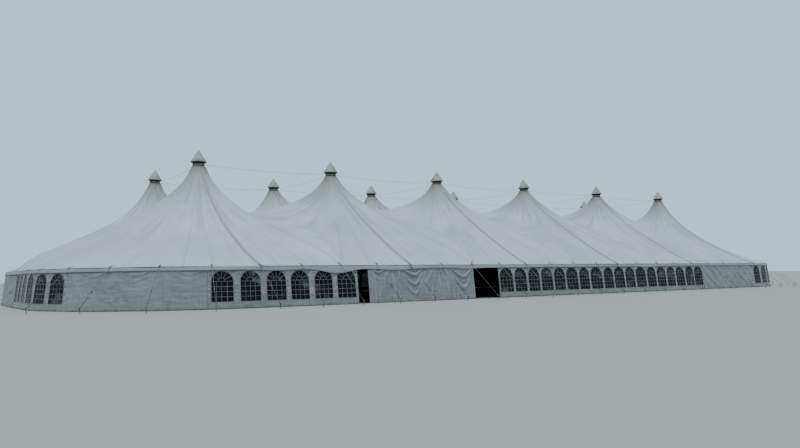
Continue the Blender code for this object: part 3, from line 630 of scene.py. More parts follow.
for pole_name, place in KING_POLES.items():
    x, y = place
    half = BASE_PLATE_WIDTH / 2
    low, high = (x - half, y - half, 0), (x + half, y + half, BASE_PLATE_THICKNESS)
    ring_level = RING_HEIGHT - SPOKE_DROP
    spoke_starts = circle(place, SPOKE_START, ring_level, RING_SPOKES)
    spoke_ends = circle(place, RING_RADIUS - RING_TUBE_INSET, ring_level, RING_SPOKES)
    corners = [(u, v) for u in (-1, 1) for v in (-1, 1)]
    parts = [
        turned_shape("shaft", KING_POLE_PROFILE, KING_POLE_SIDES, place, POLE_PAINT),
        box_shape("plate", low, high, POLE_PAINT, CHAMFER),
        ring_tube("ring", place, ring_level, RING_RADIUS - RING_TUBE_INSET, RING_TUBE_RADIUS, RING_RUST),
        turned_shape("hub", RING_HUB_PROFILE, RING_HUB_SIDES, place, RING_RUST, smooth=False),
        ropes("spokes", list(zip(spoke_starts, spoke_ends)), SPOKE_RADIUS, SPOKE_SIDES, RING_RUST),
        copies(
            "bolts",
            turned_shape("bolt", BOLT_PROFILE, BOLT_SIDES),
            [(x + u * BOLT_OFFSET, y + v * BOLT_OFFSET, BASE_PLATE_THICKNESS) for u, v in corners],
            [(0, 0, 0.3 * (u + 2 * v)) for u, v in corners],
            POLE_PAINT,
        ),
    ]
    pole = joined(f"king_pole_{pole_name}_steel", parts)
    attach(pole, "root")
    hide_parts(f"king_pole_{pole_name}")

# Head cables. Thin wire ropes run from pole head to pole head along both rows and across, drawn nearly
# tight, each fixed to a collar round its pole.
CABLE_HEIGHT = 4.59
CABLE_RADIUS = 0.0042
CABLE_SIDES = 6
CABLE_SAG = 0.09
CABLE_STEPS = 16
CABLE_END = 0.064
CABLE_COLLAR_SIDES = 16
CABLE_COLLAR_INNER = 0.052
CABLE_COLLAR_OUTER = 0.066
CABLE_COLLAR_LOW = CABLE_HEIGHT - 0.02
CABLE_COLLAR_TOP = CABLE_HEIGHT + 0.02
CABLE_COLLAR_PROFILE = (
    (CABLE_COLLAR_INNER, CABLE_COLLAR_LOW),
    (CABLE_COLLAR_OUTER, CABLE_COLLAR_LOW),
    (CABLE_COLLAR_OUTER, CABLE_COLLAR_TOP),
    (CABLE_COLLAR_INNER, CABLE_COLLAR_TOP),
    (CABLE_COLLAR_INNER, CABLE_COLLAR_LOW),
)
cable_wire, cable_tree, cable_surface = new_material("cable_wire", Metallic=0.6, Roughness=0.5)
strands = blotched(cable_tree, object_vector(cable_tree), 2.0, 60.0)
cable_grey = mixed_colour(cable_tree, strands["Speck"], (0.1, 0.1, 0.105), (0.05, 0.045, 0.04))
cover(cable_tree, cable_surface, cable_grey, None, strands["Height"], 0.0005)
heads = list(KING_POLES.values())
front_heads, back_heads = heads[:POLES_IN_ROW], heads[POLES_IN_ROW:]
spans = [*zip(front_heads, front_heads[1:]), *zip(back_heads, back_heads[1:]), *zip(front_heads, back_heads)]
cable_share = np.linspace(0, 1, CABLE_STEPS + 1)[:, None]
cable_lines = []
for number, (first, second) in enumerate(spans):
    start, finish = np.array([*first, CABLE_HEIGHT]), np.array([*second, CABLE_HEIGHT])
    reach = (finish - start) / np.linalg.norm(finish - start) * CABLE_END
    start, finish = start + reach, finish - reach
    line = start + (finish - start) * cable_share
    sag = CABLE_SAG * (0.75 + 0.5 * ((number * 37) % 11) / 10)
    line[:, 2:] -= sag * 4 * cable_share * (1 - cable_share)
    cable_lines.append(line)
parts = [ropes("cable_run", cable_lines, CABLE_RADIUS, CABLE_SIDES, cable_wire)]
for head in heads:
    collar = turned_shape("collar", CABLE_COLLAR_PROFILE, CABLE_COLLAR_SIDES, head, cable_wire, smooth=False)
    parts.append(collar)
cables = joined("head_cables_wire", parts)
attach(cables, "root")
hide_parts("head_cables")

# Roof cloth. Seven sections of white coated canvas hang from the head rings in a stretched membrane that is
# held down along the eave. Each is sewn from long panels that run from the ring to the eave, with pleats
# below the ring, and has a loose valance along the eave.
EAVE_HEIGHT = 1.135
ROOF_RINGS = 26
RING_CROWDING = 1.35
EAVE_STEPS = 16
SIDE_STEPS = 24
RIDGE_STEPS = 16
MIDDLE_STEPS = 16
CORNER_STEPS = 60
END_STEPS = 5
END_MIDDLE_STEPS = 10
CONE_FALLOFF = 0.32
HOOP_STIFFNESS = 1.45
SAG = 0.3
MOST_STEPS = 3000
RAYS_IN_PANEL = 6
PANELS_IN_SHARE = 20
FIRST_SEAM = 2.4
ROOF_SHEET_THICKNESS = 0.004
PLEATS = 32
PLEAT_DEPTH = 0.01
PLEAT_REACH = 1.25
PLEAT_START = 0.35
RIPPLE_DEPTH = 0.0072
RIPPLE_MIDDLE = 1.9
RIPPLE_REACH = 2.1
LACED_WIDTH = 0.09
EAVE_SAG = 0.011
VALANCE_DROP = 0.12
VALANCE_RISE = 0.012
VALANCE_BILLOW = 0.013
VALANCE_FLUTTER = 0.009
VALANCE_ROWS = 5
VALANCE_TOP = 0.05
VALANCE_STAND = 0.012
VALANCE_LOW_STAND = 0.014
# Droops of the front valance: the middle, the added length and the half width of each.
VALANCE_DROOPS = (
    (-12.0, 0.03, 0.5),
    (-10.15, 0.13, 0.55),
    (-8.1, 0.045, 0.7),
    (-5.2, 0.03, 0.4),
    (4.4, 0.03, 0.5),
)
VALANCE_MAP_START = 9
WALL_SLOPE = 0.13 / RAIL_TOP
LAST_POLE = POLES_IN_ROW - 1
CLOTH_WHITE = (0.53, 0.63, 0.68)
CLOTH_SHADE = (0.44, 0.545, 0.595)
CLOTH_BLEACHED = (0.6, 0.68, 0.715)
# Mildew colour, also laid in the hollows of the roof pleats as painted shade.
MILDEW_AND_PLEAT_SHADE = (0.28, 0.335, 0.335)
CONE_GREY = (0.29, 0.325, 0.315)
# Valance colour: painted shade, darker than the roof because the valance hangs upright.
VALANCE_PAINTED_SHADE = (0.28, 0.322, 0.305)
RUST_STAIN = (0.36, 0.24, 0.13)
RING_SOIL = (0.2, 0.17, 0.12)


def smooth_noise(u, v, seed, tile=64):
    """Smooth random values from -1 to 1 over two coordinates."""
    table = np.random.RandomState(seed).uniform(-1, 1, (tile, tile))
    u, v = np.asarray(u, float), np.asarray(v, float)
    i, j = np.floor(u).astype(int), np.floor(v).astype(int)
    a, b = u - i, v - j
    a, b = a * a * (3 - 2 * a), b * b * (3 - 2 * b)
    i, j = i % tile, j % tile
    i2, j2 = (i + 1) % tile, (j + 1) % tile
    top = table[i, j] * (1 - a) + table[i2, j] * a
    low = table[i, j2] * (1 - a) + table[i2, j2] * a
    return top * (1 - b) + low * b


def eave_rays(at_end):
    return CORNER_STEPS + END_STEPS if at_end else EAVE_STEPS


def share_edge(at_end):
    """Edge of the membrane's share beside a pole, from the eave round to the tent's middle.

    Points are offsets from a front pole on its right side; each also has its outward direction.
    """
    if at_end:
        angle = np.linspace(0, math.pi / 2, CORNER_STEPS + 1)
        edge = [(CORNER_RADIUS * math.sin(a), -CORNER_RADIUS * math.cos(a)) for a in angle]
        edge += [(CORNER_RADIUS, y) for y in np.linspace(0, ROW_OFFSET, END_STEPS + 1)[1:]]
        edge += [(x, ROW_OFFSET) for x in np.linspace(CORNER_RADIUS, 0, END_MIDDLE_STEPS + 1)[1:]]
        outward = [(x / CORNER_RADIUS, min(y, 0) / CORNER_RADIUS) for x, y in edge]
        return np.array(edge), np.array(outward)
    half = POLE_PITCH / 2
    edge = [(x, -CORNER_RADIUS) for x in np.linspace(0, half, EAVE_STEPS + 1)]
    edge += [(half, y) for y in np.linspace(-CORNER_RADIUS, 0, SIDE_STEPS + 1)[1:]]
    edge += [(half, y) for y in np.linspace(0, ROW_OFFSET, RIDGE_STEPS + 1)[1:]]
    edge += [(x, ROW_OFFSET) for x in np.linspace(half, 0, MIDDLE_STEPS + 1)[1:]]
    return np.array(edge), np.array([(0, -1)] * len(edge), float)


def share_grid(at_end):
    """Plan grid of one share as offsets from its pole: rays from the ring out to the edge."""
    edge, _ = share_edge(at_end)
    angle = np.linspace(-math.pi / 2, math.pi / 2, len(edge))
    ring = RING_RADIUS * np.column_stack([np.cos(angle), np.sin(angle)])
    share = (np.arange(ROOF_RINGS + 1) / ROOF_RINGS) ** RING_CROWDING
    return ring[:, None] + (edge - ring)[:, None] * share[None, :, None]


def balanced(heights, free, load, first, second, strength):
    """Heights at which the pulls along all strips balance the load; points that aren't free keep theirs."""
    count = len(heights)

    def pulls_on(values):
        pull = strength * (values[first] - values[second])
        return np.bincount(first, pull, count) - np.bincount(second, pull, count)

    stiffness = np.bincount(first, strength, count) + np.bincount(second, strength, count)
    rest = np.where(free, load - pulls_on(heights), 0)
    scaled = rest / stiffness
    way = scaled.copy()
    size = rest @ scaled
    for _ in range(MOST_STEPS):
        pushed = np.where(free, pulls_on(way), 0)
        move = size / (way @ pushed)
        heights += move * way
        rest -= move * pushed
        scaled = rest / stiffness
        new_size = rest @ scaled
        if new_size < 1e-12:
            break
        way = scaled + new_size / size * way
        size = new_size
    return heights


def membrane_heights():
    """Heights of the stretched membrane over each share's grid, from the balance of its pulls.

    Each point is drawn to its neighbours in proportion to the strip of cloth between them and sags under
    its weight, while the rings and the eave are held. A quarter of the tent is solved, by symmetry.
    """
    numbers, index_of, held = {}, {}, {}
    first, second, strength, load_at, load_size = [], [], [], [], []
    for pole, side in [(pole, side) for pole in range(POLES_IN_ROW // 2) for side in (1, -1)]:
        at_end = (pole, side) == (0, -1)
        grid = share_grid(at_end)
        x = np.abs(pole_x(pole) + side * grid[..., 0])
        y = np.abs(grid[..., 1] - ROW_OFFSET)
        keys = np.round(np.stack([x, y], axis=-1), 5).reshape(-1, 2)
        index = np.array([index_of.setdefault(tuple(key), len(index_of)) for key in keys]).reshape(x.shape)
        numbers[pole, side] = index
        held.update(dict.fromkeys(index[:, 0], RING_HEIGHT))
        held.update(dict.fromkeys(index[: eave_rays(at_end) + 1, -1], EAVE_HEIGHT))
        span = np.hypot(grid[..., 0], grid[..., 1])
        middle = (span[:, 1:] + span[:, :-1]) / 2
        step = span[:, 1:] - span[:, :-1]
        width = middle * math.pi / (len(grid) - 1)
        width[[0, -1]] *= 0.5
        outer = span[:-1][:, np.minimum(np.arange(1, ROOF_RINGS + 1) + 1, ROOF_RINGS)]
        strip = (outer - span[:-1, :-1]) / 2
        beside = np.linalg.norm(grid[1:, 1:] - grid[:-1, 1:], axis=-1)
        hoops = HOOP_STIFFNESS * strip / beside * (span[:-1, 1:] / POLE_PITCH) ** -CONE_FALLOFF
        first += [index[:, :-1].ravel(), index[:-1, 1:].ravel()]
        second += [index[:, 1:].ravel(), index[1:, 1:].ravel()]
        strength += [(width / step * (middle / POLE_PITCH) ** -CONE_FALLOFF).ravel(), hoops.ravel()]
        load_at += [index[:, :-1].ravel(), index[:, 1:].ravel()]
        load_size += 2 * [(width * step / 2).ravel()]
    first, second, strength, load_at, load_size = (
        np.concatenate(part) for part in (first, second, strength, load_at, load_size)
    )
    count = len(index_of)
    load = -SAG / POLE_PITCH * np.bincount(load_at, load_size, count)
    free = np.ones(count, bool)
    free[list(held)] = False
    heights = np.full(count, (EAVE_HEIGHT + RING_HEIGHT) / 2)
    heights[list(held)] = list(held.values())
    heights = balanced(heights, free, load, first, second, strength)
    return {share: heights[index] for share, index in numbers.items()}


MEMBRANE = membrane_heights()


def share_surface(pole, side):
    """Resting surface of a share for the front row: an array of points over rays and rings."""
    at_end = (pole, side) in ((0, -1), (LAST_POLE, 1))
    grid = share_grid(at_end)
    heights = MEMBRANE[(pole, side) if pole <= LAST_POLE // 2 else (LAST_POLE - pole, -side)]
    x = pole_x(pole) + side * grid[..., 0]
    return np.stack([x, grid[..., 1] - ROW_OFFSET, heights], axis=-1), at_end


def along_eave(at_end):
    """Side-pole bays passed along the eave at each ray of a share, from its pole's foot."""
    edge, _ = share_edge(at_end)
    edge = edge[: eave_rays(at_end) + 1]
    if not at_end:
        return edge[:, 0] / SIDE_POLE_PITCH
    corner = np.arange(CORNER_STEPS + 1) / CORNER_STEPS * SIDE_POLES_IN_CORNER
    end = SIDE_POLES_IN_CORNER + edge[CORNER_STEPS + 1 :, 1] / SIDE_POLE_PITCH
    return np.concatenate([corner, end])


def roof_relief(points, pole, row, at_end):
    """Pleats below the ring and long ripples, as offsets along the normal."""
    dx, dy = points[..., 0] - pole_x(pole), points[..., 1] + row * ROW_OFFSET
    reach = np.hypot(dx, dy)
    angle = np.arctan2(dy, dx)
    seed = 11 * pole + (5 if row > 0 else 0)
    fade = np.exp(-np.maximum(reach - PLEAT_START, 0) / PLEAT_REACH)
    fade *= np.clip((reach - RING_RADIUS) / 0.25, 0.15, 1)
    shift = 1.7 * smooth_noise(reach * 1.3, angle * 2, seed)
    wave = np.cos(PLEATS * angle + shift) + 0.55 * np.cos(0.75 * PLEATS * angle + 2.1 * shift + pole)
    wave *= 0.65 + 0.5 * smooth_noise(angle * 5, reach * 0.6, seed + 1)
    ripple = smooth_noise(angle * PLEATS / math.pi / 1.6, reach * 0.45, seed + 2)
    ripple *= np.exp(-(((reach - RIPPLE_MIDDLE) / RIPPLE_REACH) ** 2))
    ripple += 0.5 * smooth_noise(points[..., 0] * 1.1, points[..., 1] * 1.1, 77)
    away_from_lacing = 1 - np.exp(-((dx / LACED_WIDTH) ** 2))
    hold = np.ones(points.shape[:2])
    hold[: eave_rays(at_end) + 1] = 1 - (np.arange(ROOF_RINGS + 1) / ROOF_RINGS)[None, :] ** 10
    return (PLEAT_DEPTH * fade * wave + RIPPLE_DEPTH * ripple) * away_from_lacing * hold


def eave_sag(at_end):
    """How far the cloth sags at each ray and ring between the side poles."""
    grid = np.zeros((len(share_edge(at_end)[0]), ROOF_RINGS + 1))
    bays = along_eave(at_end)
    share = np.arange(ROOF_RINGS + 1) / ROOF_RINGS
    grid[: len(bays)] = EAVE_SAG * np.sin(math.pi * bays)[:, None] ** 2 * share[None, :] ** 9
    return grid


def vertex_normals(points, faces):
    normals = np.zeros_like(points)
    a, b, c, d = (points[faces[:, k]] for k in range(4))
    cross = np.cross(c - a, d - b)
    for k in range(4):
        np.add.at(normals, faces[:, k], cross)
    return normals / np.maximum(np.linalg.norm(normals, axis=1), 1e-12)[:, None]


def grid_faces(rows, columns, flip):
    index = np.arange(rows * columns).reshape(rows, columns)
    corners = (index[:-1, :-1], index[:-1, 1:], index[1:, 1:], index[1:, :-1])
    faces = np.stack(corners, axis=-1).reshape(-1, 4)
    return faces[:, ::-1] if flip else faces


def welded(patches):
    """Merge patches of (points, faces) where they meet.

    Gives all the points, which of them are kept, the faces by all points and the faces by kept points.
    """
    starts = np.cumsum([0] + [len(points) for points, _ in patches[:-1]])
    points = np.concatenate([points for points, _ in patches])
    corners = np.concatenate([faces + start for (_, faces), start in zip(patches, starts)])
    _, kept, merged = np.unique(np.round(points, 5), axis=0, return_index=True, return_inverse=True)
    return points, kept, corners, merged.ravel()[corners]


def sheet_object(name, places, faces, map_name, flat_corners, marks, material, thickness):
    """Sheet with a flat map and point values, which takes its thickness on the inner side."""
    obj = mesh_object(name, places, faces, material=material)
    obj.data.uv_layers.new(name=map_name).data.foreach_set("uv", flat_corners.ravel())
    for label, values in marks.items():
        obj.data.attributes.new(label, "FLOAT", "POINT").data.foreach_set("value", values)
    solid = obj.modifiers.new("thickness", "SOLIDIFY")
    solid.thickness = thickness
    solid.offset = -1.0
    return obj


def roof_sheet(name, patches):
    """Section of the roof from patches of (points, faces, flat coordinates, relief)."""
    points, kept, corners, faces = welded([(patch[0].reshape(-1, 3), patch[1]) for patch in patches])
    flat = np.concatenate([patch[2].reshape(-1, 2) for patch in patches])
    relief = np.concatenate([patch[3].ravel() for patch in patches])[kept]
    places = points[kept] + vertex_normals(points[kept], faces) * relief[:, None]
    # hollow marks where the pleats lie in; the roof material paints shade there.
    marks = {"hollow": np.clip(0.5 - 0.5 * relief / PLEAT_DEPTH, 0, 1)}
    flat_corners = flat[corners.ravel()]
    obj = sheet_object(name, places, faces, "panels", flat_corners, marks, ROOF_CANVAS, ROOF_SHEET_THICKNESS)
    obj.modifiers["thickness"].use_even_offset = True
    return obj


def valance_patch(pole, side, row, at_end, seed):
    """Loose strip below the eave of one share, longer and fuller at some bays than at others."""
    surface, _ = share_surface(pole, side)
    rays = eave_rays(at_end) + 1
    eave = surface[:rays, -1].copy()
    eave[:, 2] -= eave_sag(at_end)[:rays, -1]
    bays = along_eave(at_end)
    outward = share_edge(at_end)[1][:rays] * (side, 1)
    depth = np.concatenate([[0.0, VALANCE_TOP], np.linspace(0.22, 1.0, VALANCE_ROWS)])
    place = pole_x(pole) / SIDE_POLE_PITCH + side * bays
    across = row * (1 - bays / bays[-1]) if at_end else row + 0 * bays
    billow = smooth_noise(place * 1.9, across, seed)
    flutter = smooth_noise(place[:, None] * 5, depth[None, :] * 1.5 + across[:, None], seed + 2)
    length = VALANCE_DROP * (0.95 + 0.05 * smooth_noise(place * 0.9, across, seed + 1))
    length -= VALANCE_RISE * np.sin(math.pi * bays) ** 2
    if row > 0:
        for middle, low, wide in VALANCE_DROOPS:
            length += low * np.exp(-(((eave[:, 0] - middle) / wide) ** 2))
    drop = depth[None, :] * length[:, None]
    stand = VALANCE_STAND * np.minimum(depth / VALANCE_TOP, 1)[None, :] + WALL_SLOPE * drop
    loose = VALANCE_LOW_STAND + 0.15 * np.maximum(length - VALANCE_DROP, 0)[:, None]
    stand = stand + (VALANCE_BILLOW * billow[:, None] + VALANCE_FLUTTER * flutter + loose) * depth[None, :]
    points = np.repeat(eave[:, None], len(depth), axis=1)
    points[..., :2] += outward[:, None] * stand[..., None]
    points[..., 2] -= drop
    return points, depth


def section_patches(half_cells, seed):
    patches = []
    for pole, side, row in [(*cell, row) for cell in half_cells for row in (1, -1)]:
        surface, at_end = share_surface(pole, side)
        surface[..., 2] -= eave_sag(at_end)
        span = np.linalg.norm(np.diff(surface, axis=1, prepend=surface[:, :1]), axis=-1).cumsum(axis=1)
        panel = (np.arange(len(surface))[:, None] + FIRST_SEAM) / RAYS_IN_PANEL
        number = 2 * pole + (1 if side > 0 else 0)
        flat = np.stack([panel + PANELS_IN_SHARE * number + 0 * span, span], axis=-1)
        surface[..., 1] *= row
        relief = roof_relief(surface, pole, row, at_end)
        facing = side * row <= 0
        patches.append((surface, grid_faces(*surface.shape[:2], facing), flat, relief))
        points, depth = valance_patch(pole, side, row, at_end, seed)
        points[..., 1] *= row
        rays, rows = points.shape[:2]
        band = np.stack(np.broadcast_arrays(panel[:rays], VALANCE_MAP_START + depth[None, :]), axis=-1)
        patches.append((points, grid_faces(rays, rows, facing), band, np.zeros((rays, rows))))
    return patches


def fall(tree, value, low, high):
    """Mask that falls smoothly from 1 at low to 0 at high."""
    return math_node(tree, "SUBTRACT", 1.0, rise(tree, value, low, high))


def stretched_noise(tree, vector, stretch, detail, roughness):
    """Noise over a vector that is scaled by its own factor along each axis."""
    return noise(tree, vector_math(tree, "MULTIPLY", vector, stretch), 1.0, detail, roughness)


def axes(tree, vector):
    """The X, Y and Z of a vector."""
    return add_node(tree, "ShaderNodeSeparateXYZ", {0: vector}).outputs


def runs_group():
    """Marks that rain leaves: narrow streaks down a surface, denser where the mask is higher."""
    group, given = shader_group("rain_runs", {"Vector": (0, 0, 0), "Mask": 1.0, "Density": 0.5})
    streaks = noise(group, given["Vector"], 1.0, 4.0, 0.6)
    limit = math_node(group, "SUBTRACT", 1.0, given["Density"])
    shaped = rise(group, streaks, limit, math_node(group, "ADD", limit, 0.22))
    return end_group(group, {"Streaks": times(group, shaped, given["Mask"])})


def weave_group():
    """Plain weave of a coated cloth: crossing threads as a height, from a flat vector in metres."""
    group, given = shader_group("cloth_weave", {"Vector": (0, 0, 0), "Threads": 300.0})
    split = axes(group, given["Vector"])
    across, along = (
        math_node(group, "SINE", times(group, split[axis], given["Threads"])) for axis in ("X", "Y")
    )
    return end_group(group, {"Height": times(group, times(group, across, along), 0.5, 0.5)})


RAIN_RUNS = runs_group()
CLOTH_WEAVE = weave_group()


def rain_runs(tree, vector, stretch, mask, density):
    stretched = vector_math(tree, "MULTIPLY", vector, stretch)
    return use_group(tree, RAIN_RUNS, {"Vector": stretched, "Mask": mask, "Density": density})["Streaks"]


def woven(tree, vector, threads):
    return use_group(tree, CLOTH_WEAVE, {"Vector": vector, "Threads": threads})["Height"]


def seam_mask(tree, across, low, high):
    """Mask of the sewn seams, which lie at whole numbers across the cloth."""
    off_middle = math_node(tree, "SUBTRACT", math_node(tree, "FRACT", across), 0.5)
    return rise(tree, math_node(tree, "ABSOLUTE", off_middle), low, high)


def roof_cloth_material():
    """Coated canvas: sewn seams between panels, streaks that fan from the ring, rust near it, soft dirt;
    painted shade in the pleat hollows and on the upright valance.
    """
    material, tree, surface = new_material("roof_canvas", Sheen_Weight=0.12, Sheen_Roughness=0.5)
    panels = add_node(tree, "ShaderNodeUVMap", uv_map="panels").outputs["UV"]
    place = object_vector(tree)
    split = axes(tree, panels)
    along = split["Y"]
    seam = seam_mask(tree, split["X"], 0.465, 0.487)
    blotches = blotched(tree, place, 0.55, 7.0)
    fan = stretched_noise(tree, panels, (5.0, 0.55, 1.0), 5.0, 0.62)
    streaks = rain_runs(tree, panels, (9.0, 0.9, 1.0), fall(tree, along, 0.15, 1.5), 0.52)
    grime = rain_runs(tree, panels, (3.0, 0.35, 1.0), 0.5, 0.42)
    hollow = add_node(tree, "ShaderNodeAttribute", attribute_name="hollow").outputs["Fac"]
    tints = (
        (rise(tree, fan, 0.35, 0.75), 0.4, CLOTH_BLEACHED),
        (fall(tree, along, 0.1, 1.9), 0.62, CONE_GREY),
        # Painted shade: the valance band of the map is painted darker, as the shade of an upright band.
        (rise(tree, along, 8.9, 9.02), 0.8, VALANCE_PAINTED_SHADE),
        # Painted shade: the hollows of the pleats are darkened with the mildew colour.
        (rise(tree, hollow, 0.5, 0.8), 0.36, MILDEW_AND_PLEAT_SHADE),
        (grime, 0.5, MILDEW_AND_PLEAT_SHADE),
        (blotches["Speck"], 0.08, MILDEW_AND_PLEAT_SHADE),
        (seam, 0.42, MILDEW_AND_PLEAT_SHADE),
        (fall(tree, along, 0.02, 0.5), times(tree, fan, 0.9, 0.15), RING_SOIL),
        (streaks, 0.75, RUST_STAIN),
    )
    base = tinted(tree, mixed_colour(tree, blotches["Blotch"], CLOTH_WHITE, CLOTH_SHADE), tints)
    height = times(tree, fan, 1.0, times(tree, seam, 0.35))
    height = times(tree, woven(tree, place, 900.0), 0.03, height)
    cover(tree, surface, base, times(tree, blotches["Blotch"], 0.12, 0.48), height, 0.012, 0.55)
    return material


ROOF_CANVAS = roof_cloth_material()
long_sides = ("front", "back")
sections = {"roof_left_end": [(0, -1)], "roof_right_end": [(LAST_POLE, 1)]}
for bay in range(LAST_POLE):
    sections[f"roof_bay_{bay + 1}"] = [(bay, 1), (bay + 1, -1)]
for number, (section, half_cells) in enumerate(sections.items()):
    cloth = roof_sheet(f"{section}_canvas", section_patches(half_cells, 300 + number))
    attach(cloth, "root")
    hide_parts(section)
    is_bay = "bay" in section
    carriers = [f"king_pole_{row}_{pole + 1}" for pole, _ in half_cells for row in long_sides]
    carriers += [f"side_poles_{side}" for side in (long_sides if is_bay else (section.split("_")[1],))]

# Lacing and eave straps. The sections of the roof are joined on the lines through the king poles, where the
# edge of one laps over the next and cord loops hold it from ring to eave. At each side pole a strap is sewn
# to the canvas, and it takes the pull of the guy.
LAP_WIDTH = 0.085
LAP_SHIFT = 0.022
LAP_THICKNESS = 0.003
LAP_LIFT = 0.004
LACE_RADIUS = 0.0028
LACE_SHIFT = 0.006
LACE_LIFT = 0.009
HEM_RADIUS = 0.0034
HEM_LIFT = 0.006
LOOP_LIFT = 0.01
LINE_SIDES = 5
LOOP_SPACING = 0.16
LOOP_HALF = (0.017, 0.005, 0.004)
TAB_LENGTH = 0.13
TAB_WIDTH = 0.045
TAB_THICKNESS = 0.003
TAB_LIFT = 0.006
TAB_BEND = 0.015
GUY_TOP = 0.019


def webbing_material(name, colour, worn, dirt):
    """Woven strap: ribbed across, faded in patches and dirty."""
    material, tree, surface = new_material(name, Sheen_Weight=0.25)
    vector = object_vector(tree)
    patches = blotched(tree, vector, 3.5, 40.0)
    base = mixed_colour(tree, patches["Blotch"], colour, worn)
    colour = tinted(tree, base, [(patches["Speck"], 0.6, dirt)])
    rough = times(tree, patches["Blotch"], 0.15, 0.7)
    cover(tree, surface, colour, rough, woven(tree, vector, 1400.0), 0.0006, 0.5)
    return material


LACE_WEBBING = webbing_material("lace_cord", (0.2, 0.19, 0.16), (0.28, 0.275, 0.25), (0.14, 0.13, 0.11))
LAP_CANVAS = webbing_material("lap_canvas", (0.44, 0.51, 0.53), (0.38, 0.44, 0.45), (0.31, 0.34, 0.33))
TAB_WEBBING = webbing_material("dark_webbing", (0.045, 0.05, 0.055), (0.09, 0.09, 0.09), (0.03, 0.03, 0.027))


def lifted(path, lift, shift):
    """Path in a plane of constant x, moved off the cloth along its normal and sideways."""
    path = np.asarray(path, float)
    normal = np.cross((1.0, 0.0, 0.0), np.gradient(path, axis=0))
    normal /= np.linalg.norm(normal, axis=1)[:, None]
    normal *= np.sign(normal[:, 2:3])
    return path + lift * normal + np.array([shift, 0, 0])


def evenly(path, spacing, near=0.01):
    """Points at even steps along a path, with its direction at each."""
    run = np.concatenate([[0], np.linalg.norm(np.diff(path, axis=0), axis=1).cumsum()])
    count = max(2, int(run[-1] / spacing))
    at = (np.arange(count) + 0.5) / count * run[-1]
    points, ahead, behind = (
        np.column_stack([np.interp(at + step, run, axis) for axis in path.T]) for step in (0, near, -near)
    )
    return points, ahead - behind


lap_paths, lace_paths, hem_paths, loop_places, loop_turns = [], [], [], [], []
for pole in range(POLES_IN_ROW):
    surface, _ = share_surface(pole, -1 if pole == LAST_POLE else 1)
    for ray, row in [(ray, row) for ray in (0, -1) for row in (1, -1)]:
        path = surface[ray, 1:] * (1, row, 1)
        lap_paths.append(lifted(path, LAP_LIFT, LAP_SHIFT))
        lace_paths.append(lifted(path, LACE_LIFT, -LACE_SHIFT))
        hem_paths.append(lifted(path, HEM_LIFT, LAP_SHIFT + LAP_WIDTH / 2))
        places, ways = evenly(lifted(path, LOOP_LIFT, LACE_SHIFT), LOOP_SPACING)
        loop_places.extend(places)
        loop_turns.extend((math.atan2(way[2], way[1]), 0.0, 0.0) for way in ways)
loop = box_shape("loop", [-size for size in LOOP_HALF], LOOP_HALF, None, CHAMFER)
parts = [
    straps("laps", lap_paths, LAP_WIDTH, LAP_THICKNESS, LAP_CANVAS),
    ropes("laces", lace_paths, LACE_RADIUS, LINE_SIDES, LACE_WEBBING),
    ropes("hems", hem_paths, HEM_RADIUS, LINE_SIDES, LACE_WEBBING),
    copies("loops", loop, loop_places, loop_turns, LACE_WEBBING, wobble=0.12, seed=5),
]
lacing = joined("roof_lacing", parts)
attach(lacing, "root")


def roof_at_eave(distance):
    """Eave point of the roof cloth and the next point up its ray, at a distance along the eave."""
    along = float(np.mod(distance + ROW_HALF, PERIMETER))
    if along >= PERIMETER / 2:
        return [point * (-1, -1, 1) for point in roof_at_eave(distance - PERIMETER / 2)]
    mirrored = along > 2 * ROW_HALF + CORNER_LENGTH + END_LENGTH / 2
    if along <= 2 * ROW_HALF:
        pole = int(round(along / POLE_PITCH))
        side = 1 if along / POLE_PITCH > pole or pole == 0 else -1
        ray = abs(along / POLE_PITCH - pole) * 2 * EAVE_STEPS
    else:
        run = along - 2 * ROW_HALF
        if mirrored:
            run = 2 * CORNER_LENGTH + END_LENGTH - run
        pole, side = LAST_POLE, 1
        past = max(run - CORNER_LENGTH, 0)
        ray = min(run / CORNER_LENGTH, 1) * CORNER_STEPS + past / (END_LENGTH / 2) * END_STEPS
    surface, _ = share_surface(pole, side)
    low = min(int(ray), len(surface) - 2)
    part = ray - low
    points = (surface[low, ring] * (1 - part) + surface[low + 1, ring] * part for ring in (-1, -2))
    return [point * (1, -1 if mirrored else 1, 1) for point in points]


tab_paths = []
for distance in [distance for distances in side_places.values() for distance in distances]:
    eave, inner = roof_at_eave(distance)
    outward = np.append(eave_line(distance)[1][0], 0)
    slope = (inner - eave) / np.linalg.norm(inner - eave)
    lift = np.array([0, 0, TAB_LIFT])
    path = [eave + TAB_LENGTH * part * slope + lift for part in (1.0, 0.5, 0.05)]
    path.append(eave + TAB_BEND * outward - 0.002 * lift)
    path.append(eave + (GUY_TOP - 0.002) * outward - 2.5 * lift)
    tab_paths.append(path)
tabs = straps("eave_tabs", tab_paths, TAB_WIDTH, TAB_THICKNESS, TAB_WEBBING)
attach(tabs, "root")

# Hats. A cone of painted sheet stands on each pole head over the open ring, to keep the rain out and let the
# air through. It is made of twelve gores with folded seams, and its lip and its spike have weathered most.
# Below it a collar of sacking is bound round the open ring.
HAT_RIM_RADIUS = 0.262
HAT_RIM_HEIGHT = 4.66
HAT_LIP = 0.01
HAT_LIP_RADIUS = 0.006
HAT_NECK_RADIUS = 0.03
HAT_NECK_HEIGHT = 5.035
HAT_TIP_HEIGHT = 5.1
HAT_WALL = 0.012
HAT_GORES = 12
HAT_SIDES = 2 * HAT_GORES
HAT_SEAM_RADIUS = 0.003
HAT_SEAM_SIDES = 5
HAT_LIP_SIDES = 36
HAT_LIP_AROUND = 6
HAT_LIP_INSET = 0.001
HAT_PIVOT_DROP = 0.1
# Where a hat's slope is drawn in: the share of the way from neck to rim, and how much of that it keeps.
HAT_HOLLOWS = ((0.62, 0.985), (0.3, 0.99))
